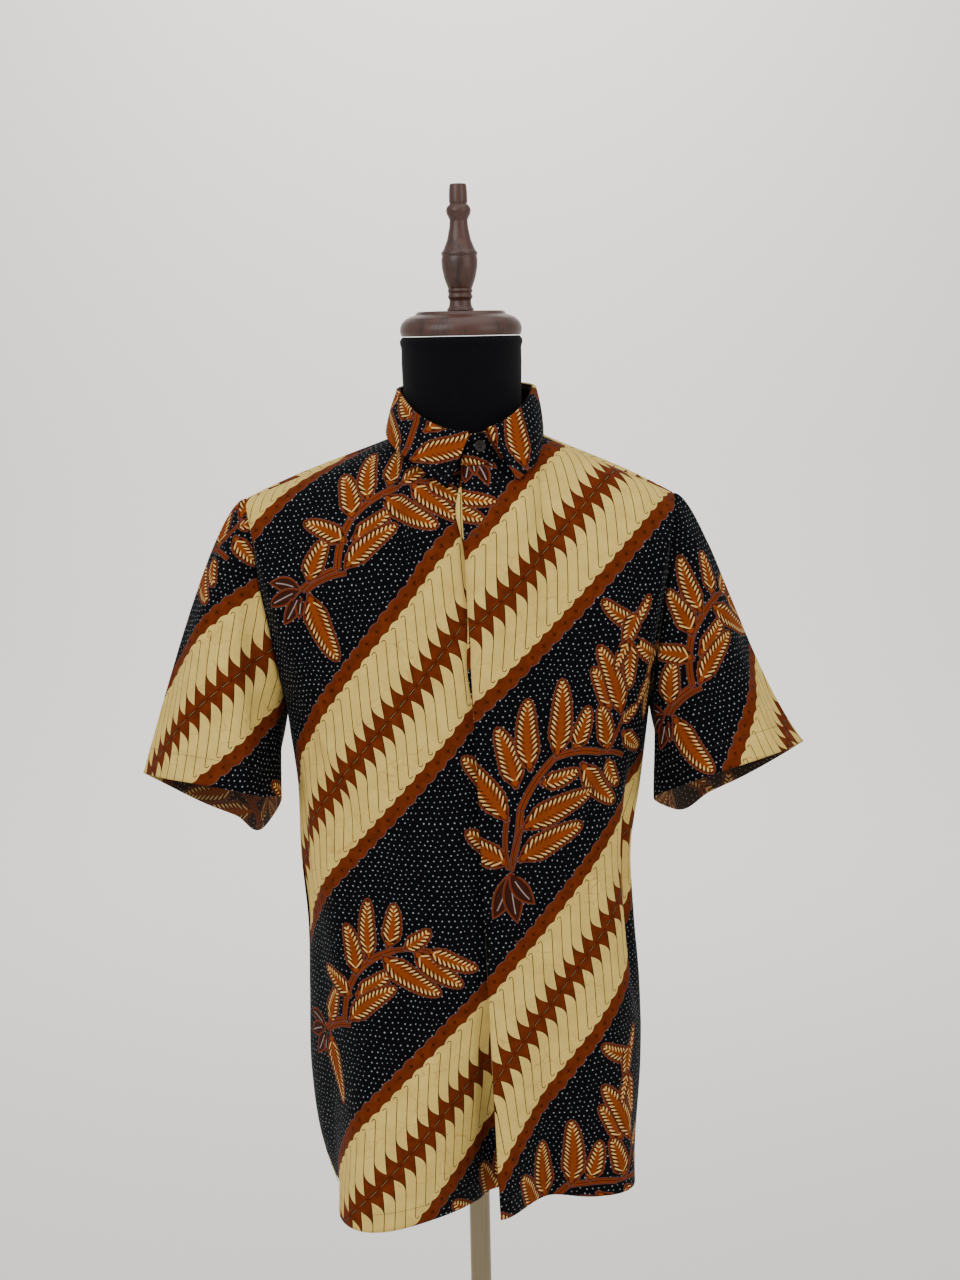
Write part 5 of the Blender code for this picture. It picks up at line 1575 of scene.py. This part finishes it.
# How the sleeve leaves the armhole and reaches its hem: direction times reach, x given outwards
Leave = namedtuple("Leave", "way out y z hem_out hem_y hem_z")
SLEEVE_FLOW = {
    "left": (
        Leave(0.00, 0.085, 0.000, 0.012, 0.075, -0.030, -0.240),
        Leave(0.25, 0.105, -0.045, -0.100, 0.030, -0.050, -0.170),
        Leave(0.44, 0.016, -0.018, -0.100, 0.000, -0.020, -0.080),
        Leave(0.50, 0.014, 0.000, -0.100, 0.020, -0.010, -0.110),
        Leave(0.75, 0.105, 0.050, -0.100, 0.050, -0.030, -0.190),
        Leave(1.00, 0.085, 0.000, 0.012, 0.075, -0.030, -0.240),
    ),
    "right": (
        Leave(0.00, 0.080, 0.000, 0.004, 0.160, -0.030, -0.200),
        Leave(0.25, 0.090, -0.045, -0.110, 0.080, -0.050, -0.150),
        Leave(0.44, 0.016, -0.018, -0.100, 0.000, -0.020, -0.090),
        Leave(0.50, 0.014, 0.000, -0.100, 0.020, -0.010, -0.110),
        Leave(0.75, 0.095, 0.050, -0.110, 0.090, -0.030, -0.170),
        Leave(1.00, 0.080, 0.000, 0.004, 0.160, -0.030, -0.200),
    ),
}


def sleeve_grid(name, side, columns, rows):
    """Grid of a sleeve: rows from the armhole to the hem, columns round from the underarm seam to itself."""
    ways = (np.arange(columns + 1) / columns + 0.5) % 1.0
    ways[-1] = 0.5
    front = ways <= 0.5
    start = np.where(
        front[:, None],
        armhole(side, np.clip(1 - 2 * ways, 0, 1), False),
        armhole(side, np.clip(2 * ways - 1, 0, 1), True),
    )
    rim = smooth(column(SLEEVE_RIM[name], "way"), column(SLEEVE_RIM[name], "x", "y", "drop"), ways)
    rim[:, 2] = CAP_HEIGHT - rim[:, 2]
    flow = smooth(column(SLEEVE_FLOW[name], "way"), column(SLEEVE_FLOW[name], *Leave._fields[1:]), ways)
    flow[:, [0, 3]] *= side.sign
    leave, reach = flow[:, :3], flow[:, 3:]
    start[:, 0] += side.sign * SEAM
    return np.array([curve(t, start, leave, rim, reach) for t in np.linspace(0, 1, rows + 1)])


def turned_guide(grid, degrees, shift):
    """Guide for a sleeve: as seen from the front, turned by the lean of the sleeve and shifted."""
    guide, weight = seen_from(grid)
    middle = (guide * weight[:, :, None]).sum((0, 1)) / weight.sum()
    turn = math.radians(degrees)
    spin = np.array([[math.cos(turn), math.sin(turn)], [-math.sin(turn), math.cos(turn)]])
    return (guide - middle) @ spin.T + middle + shift, weight


SLEEVE_HEM = 0.025
NO_WEIGHT = 1e-6  # for cloth that faces away, when a sleeve is laid over the print
Lay = namedtuple("Lay", "name side lean shift")
sleeves = {}
for lay in (Lay("left", LEFT, -10.0, (0.0, -0.191)), Lay("right", RIGHT, 17.0, (0.085, 0.121))):
    flip = lay.side.sign < 0
    grid = sleeve_grid(lay.name, lay.side, SLEEVE_COLUMNS, SLEEVE_ROWS)
    for facing, word in ((-1, " sleeve front"), (1, " sleeve back")):
        grid = creased(grid, flip, lay.name + word, facing, ("first row", "first column", "last column"))
    guide, weight = turned_guide(grid, lay.lean, lay.shift)
    weight = weight * (normals(grid, flip)[:, :, 1] < 0) + NO_WEIGHT
    sleeves[lay.name] = sewn("sleeve_" + lay.name, grid, flip, guide, weight, "last row", SLEEVE_HEM)


# Collar stand
# A stiffened band that rises from the neckline; its two ends lap at the front and button there.
STAND_TOP_IN = 0.0050
STAND_FRONT_HEIGHT = 0.029
STAND_SIDE_HEIGHT = 0.043
STAND_BACK_HEIGHT = 0.038
STAND_END_UNDER = 0.0024
STAND_END_CUT = 9.0  # degrees cut off the upper end at its top corner
END_CUT_BEND = 2.2
STAND_ROWS = 12
COLLAR_COLUMNS = 240
LAP_START, LAP_WIDTH = 14, 12  # degrees before the lower end where it begins to dip under
STAND_STITCH = 0.002  # above the neck seam


def stand_point(angle, up, inset=0.0):
    """Point of the collar stand at an angle and a share of its height."""
    point = neck_point(angle, inset + STAND_TOP_IN * up)
    height = round_neck(angle, STAND_FRONT_HEIGHT, STAND_SIDE_HEIGHT, STAND_BACK_HEIGHT)
    point[2] += SEAM + (height - SEAM) * up
    return point


def band_guide(grid):
    """Guide for a band cut straight: distance along it and across it."""
    along, across = measured(grid.mean(0)), measured(grid.mean(1))
    return np.stack(np.meshgrid(along, across), axis=-1), np.ones(grid.shape[:2])


first = neck_angle(EDGE_TOP_X)
last = 360 + neck_angle(EDGE_TOP_X + OVERLAP)
rows = []
for up in np.linspace(0, 1, STAND_ROWS + 1):
    angles = np.linspace(first + STAND_END_CUT * up**END_CUT_BEND, last, COLLAR_COLUMNS + 1)
    under = eased((angles - 360 - first + LAP_START) / LAP_WIDTH)
    rows.append([stand_point(angle, up, STAND_END_UNDER * u) for angle, u in zip(angles, under)])
stand_grid = np.array(rows)
collar_stand, stand_stitches = sewn(
    "collar_stand", stand_grid, False, *band_guide(stand_grid), "first row", STAND_STITCH, "stitches"
)


# Collar fall
# The turned-down part: two layers of the cotton with an interlining, sewn, turned and pressed, with a
# line of stitches near its edge. It rolls over the stand's top and ends in two points.
FALL_ROWS = 30
FALL_BOW = 0.0012
FALL_STITCH = 0.006  # in from the fall's edge
SHORT_OF_END, SHORT_OF_EDGE = 3, 4  # cells where a line of stitches stops before it meets the next
Roll = namedtuple("Roll", "out up")
FALL_ROLL = (Roll(-0.0010, 0.0018), Roll(0.0006, 0.0030), Roll(0.0032, 0.0016), Roll(0.0040, -0.0020))
Leaf = namedtuple("Leaf", "way angle x y drop")
FALL_EDGE = (
    Leaf(0.000, 1.0, -0.0150, -0.0985, 0.1370),
    Leaf(0.090, -27.0, -0.0400, -0.0890, 0.1180),
    Leaf(0.170, -60.0, -0.0640, -0.0600, 0.1010),
    Leaf(0.260, -87.0, -0.0735, -0.0180, 0.0885),
    Leaf(0.340, -120.0, -0.0690, 0.0330, 0.0875),
    Leaf(0.520, -180.0, 0.0020, 0.0775, 0.0890),
    Leaf(0.700, -238.0, 0.0715, 0.0330, 0.0880),
    Leaf(0.780, -271.0, 0.0765, -0.0160, 0.0900),
    Leaf(0.850, -296.0, 0.0735, -0.0480, 0.1030),
    Leaf(0.930, -322.0, 0.0660, -0.0720, 0.1180),
    Leaf(1.000, -343.0, 0.0500, -0.0890, 0.1320),
)


def fall_grid():
    """Grid of the fall: rows from just inside the stand's top, over the roll, to the outer edge."""
    ways = np.linspace(0, 1, COLLAR_COLUMNS + 1)
    table = smooth(column(FALL_EDGE, "way"), column(FALL_EDGE, "angle", "x", "y", "drop"), ways)
    tops = np.array([stand_point(angle, 1.0) for angle in table[:, 0]])
    outs = np.array([stand_point(angle, 1.0, -1.0) for angle in table[:, 0]]) - tops
    outs[:, 2] = 0
    outs /= np.linalg.norm(outs, axis=1)[:, None]
    hems = np.stack([table[:, 1], table[:, 2], CAP_HEIGHT - table[:, 3]], axis=1)
    roll = [tops + outs * place.out + np.array([0, 0, place.up]) for place in FALL_ROLL]
    start = roll.pop()
    shares = np.linspace(0, 1, FALL_ROWS + 1)
    bows = FALL_BOW * np.sin(np.pi * shares)
    return np.array(roll + [start + (hems - start) * t + outs * bow for t, bow in zip(shares, bows)])


fall = fall_grid()
guide, weight = band_guide(fall)
guide[:, :, 1] *= -1
gaps = from_rim(fall, "last row")
collar_fall = cloth("collar_fall_cloth", "collar_fall", fall, False, guide, weight, gaps - FALL_STITCH)
# the stitches follow the long edge and, below the roll, the two ends
turned = fall.transpose(1, 0, 2)
past_roll = slice(len(FALL_ROLL), None)
line, rise = line_on(fall, gaps, FALL_STITCH, False)
lines = [(line[SHORT_OF_END:-SHORT_OF_END], rise[SHORT_OF_END:-SHORT_OF_END])]
for rim in ("first row", "last row"):
    gaps = from_rim(turned, rim)[:, past_roll]
    line, rise = line_on(turned[:, past_roll], gaps, FALL_STITCH, True)
    lines.append((line[:-SHORT_OF_EDGE], rise[:-SHORT_OF_EDGE]))
fall_stitches = stitches("collar_fall_stitches", lines)


# Collar button
# A small flat button turned from dark horn and polished, with four drilled holes, sewn on with two
# strands of brown thread.
BUTTON_RADIUS = 0.0053
BUTTON_THICKNESS = 0.0026
BUTTON_X = 0.0160
BUTTON_DROP = 0.1015
BUTTON_RIM = 0.0012
BUTTON_DISH = 0.0006
BUTTON_ROUNDING = 0.0005
BUTTON_SIDES = 64
BUTTON_CLEAR = 0.0009  # behind it, where the thread holds it off the cloth
HOLE_SIDES = 20
HOLE_RADIUS = 0.00065
HOLE_OFF = 0.0011  # from the button's middle, both ways

# Polished horn: nearly black with brown streaks, a clear small glint
horn, tree = new_material("polished horn")
add(tree, "place", "TexCoord")
add(tree, "streaks", "TexNoise", {"Vector": "place:Object", "Scale": 260.0, "Detail": 2.0, "Distortion": 1.5})
add(tree, "tone", "Mix", {0: "streaks:Fac", 6: "#0a0706", 7: "#241812"}, data_type="RGBA")
add(tree, "horn", "BsdfPrincipled", {"Base Color": "tone:2", "Roughness": 0.34, "Specular IOR Level": 0.3})
add(tree, "out", "OutputMaterial", {"Surface": "horn"})

up = (BUTTON_DROP - NECK_DROP_FRONT + STAND_FRONT_HEIGHT) / STAND_FRONT_HEIGHT
seat = stand_point(neck_angle(BUTTON_X), 1 - up)
half = BUTTON_THICKNESS / 2
button_profile = [
    (0, half - BUTTON_DISH),
    (BUTTON_RADIUS - BUTTON_RIM - BUTTON_DISH, half - BUTTON_DISH),
    (BUTTON_RADIUS - BUTTON_RIM, half),
    (BUTTON_RADIUS, half),
    (BUTTON_RADIUS, -half),
    (0, -half),
]
button = lathe("collar_button_horn", rounded(button_profile, BUTTON_ROUNDING), horn, sides=BUTTON_SIDES)
mesh = bmesh.new()
for x in (-HOLE_OFF, HOLE_OFF):
    for y in (-HOLE_OFF, HOLE_OFF):
        bmesh.ops.create_cone(
            mesh, cap_ends=True, segments=HOLE_SIDES, radius1=HOLE_RADIUS, radius2=HOLE_RADIUS,
            depth=3 * BUTTON_THICKNESS, matrix=Matrix.Translation((x, y, 0)),
        )
drill = placed("drill", mesh, horn)
holes = button.modifiers.new("holes", "BOOLEAN")
holes.object, holes.operation, holes.solver = drill, "DIFFERENCE", "EXACT"
drilled = bpy.data.meshes.new_from_object(button.evaluated_get(bpy.context.evaluated_depsgraph_get()))
button.modifiers.clear()
button.data = drilled
bpy.data.objects.remove(drill)
outward = Vector((seat[0] - NECK_CENTRE_X, seat[1], 0)).normalized()
facing = (outward + Vector((0, 0, STAND_TOP_IN / STAND_FRONT_HEIGHT))).normalized()
turn = facing.to_track_quat("Z", "Y")
button.rotation_euler = turn.to_euler()
button.location = Vector(seat) + facing * (half + BUTTON_CLEAR)
dress(button, "horn", "collar_button")
strands = []
for x in (-HOLE_OFF, HOLE_OFF):
    for off in (-1, 1):
        ends = [(x + off * THREAD_RADIUS, y, half - BUTTON_DISH) for y in (-STITCH / 2, STITCH / 2)]
        strands.append((
            np.array([button.location + turn @ Vector(end) for end in ends]),
            np.array([facing, facing], float),
        ))
stitches("collar_button_thread", strands, slot="horn")


# Cuts of the cloth
# Each piece was cut flat from the printed length. Here is what shows of it once laid flat again: width,
# length and area, with the stitches that are on it.
Panel = namedtuple("Panel", "piece width length area sewn")
PANELS = (
    Panel(front_left, 0.330, 0.785, 0.199, [left_hem]),
    Panel(front_right, 0.260, 0.795, 0.168, [right_hem, tack]),
    Panel(strip, 0.048, 0.685, 0.0155, []),
    Panel(back, 0.510, 0.820, 0.352, [back_hem]),
    Panel(sleeves["left"][0], 0.465, 0.305, 0.083, [sleeves["left"][1]]),
    Panel(sleeves["right"][0], 0.470, 0.280, 0.079, [sleeves["right"][1]]),
    Panel(collar_stand, 0.475, 0.045, 0.0170, [stand_stitches]),
    Panel(collar_fall, 0.480, 0.060, 0.0217, [fall_stitches]),
)
for panel in PANELS:
    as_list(panel.sewn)
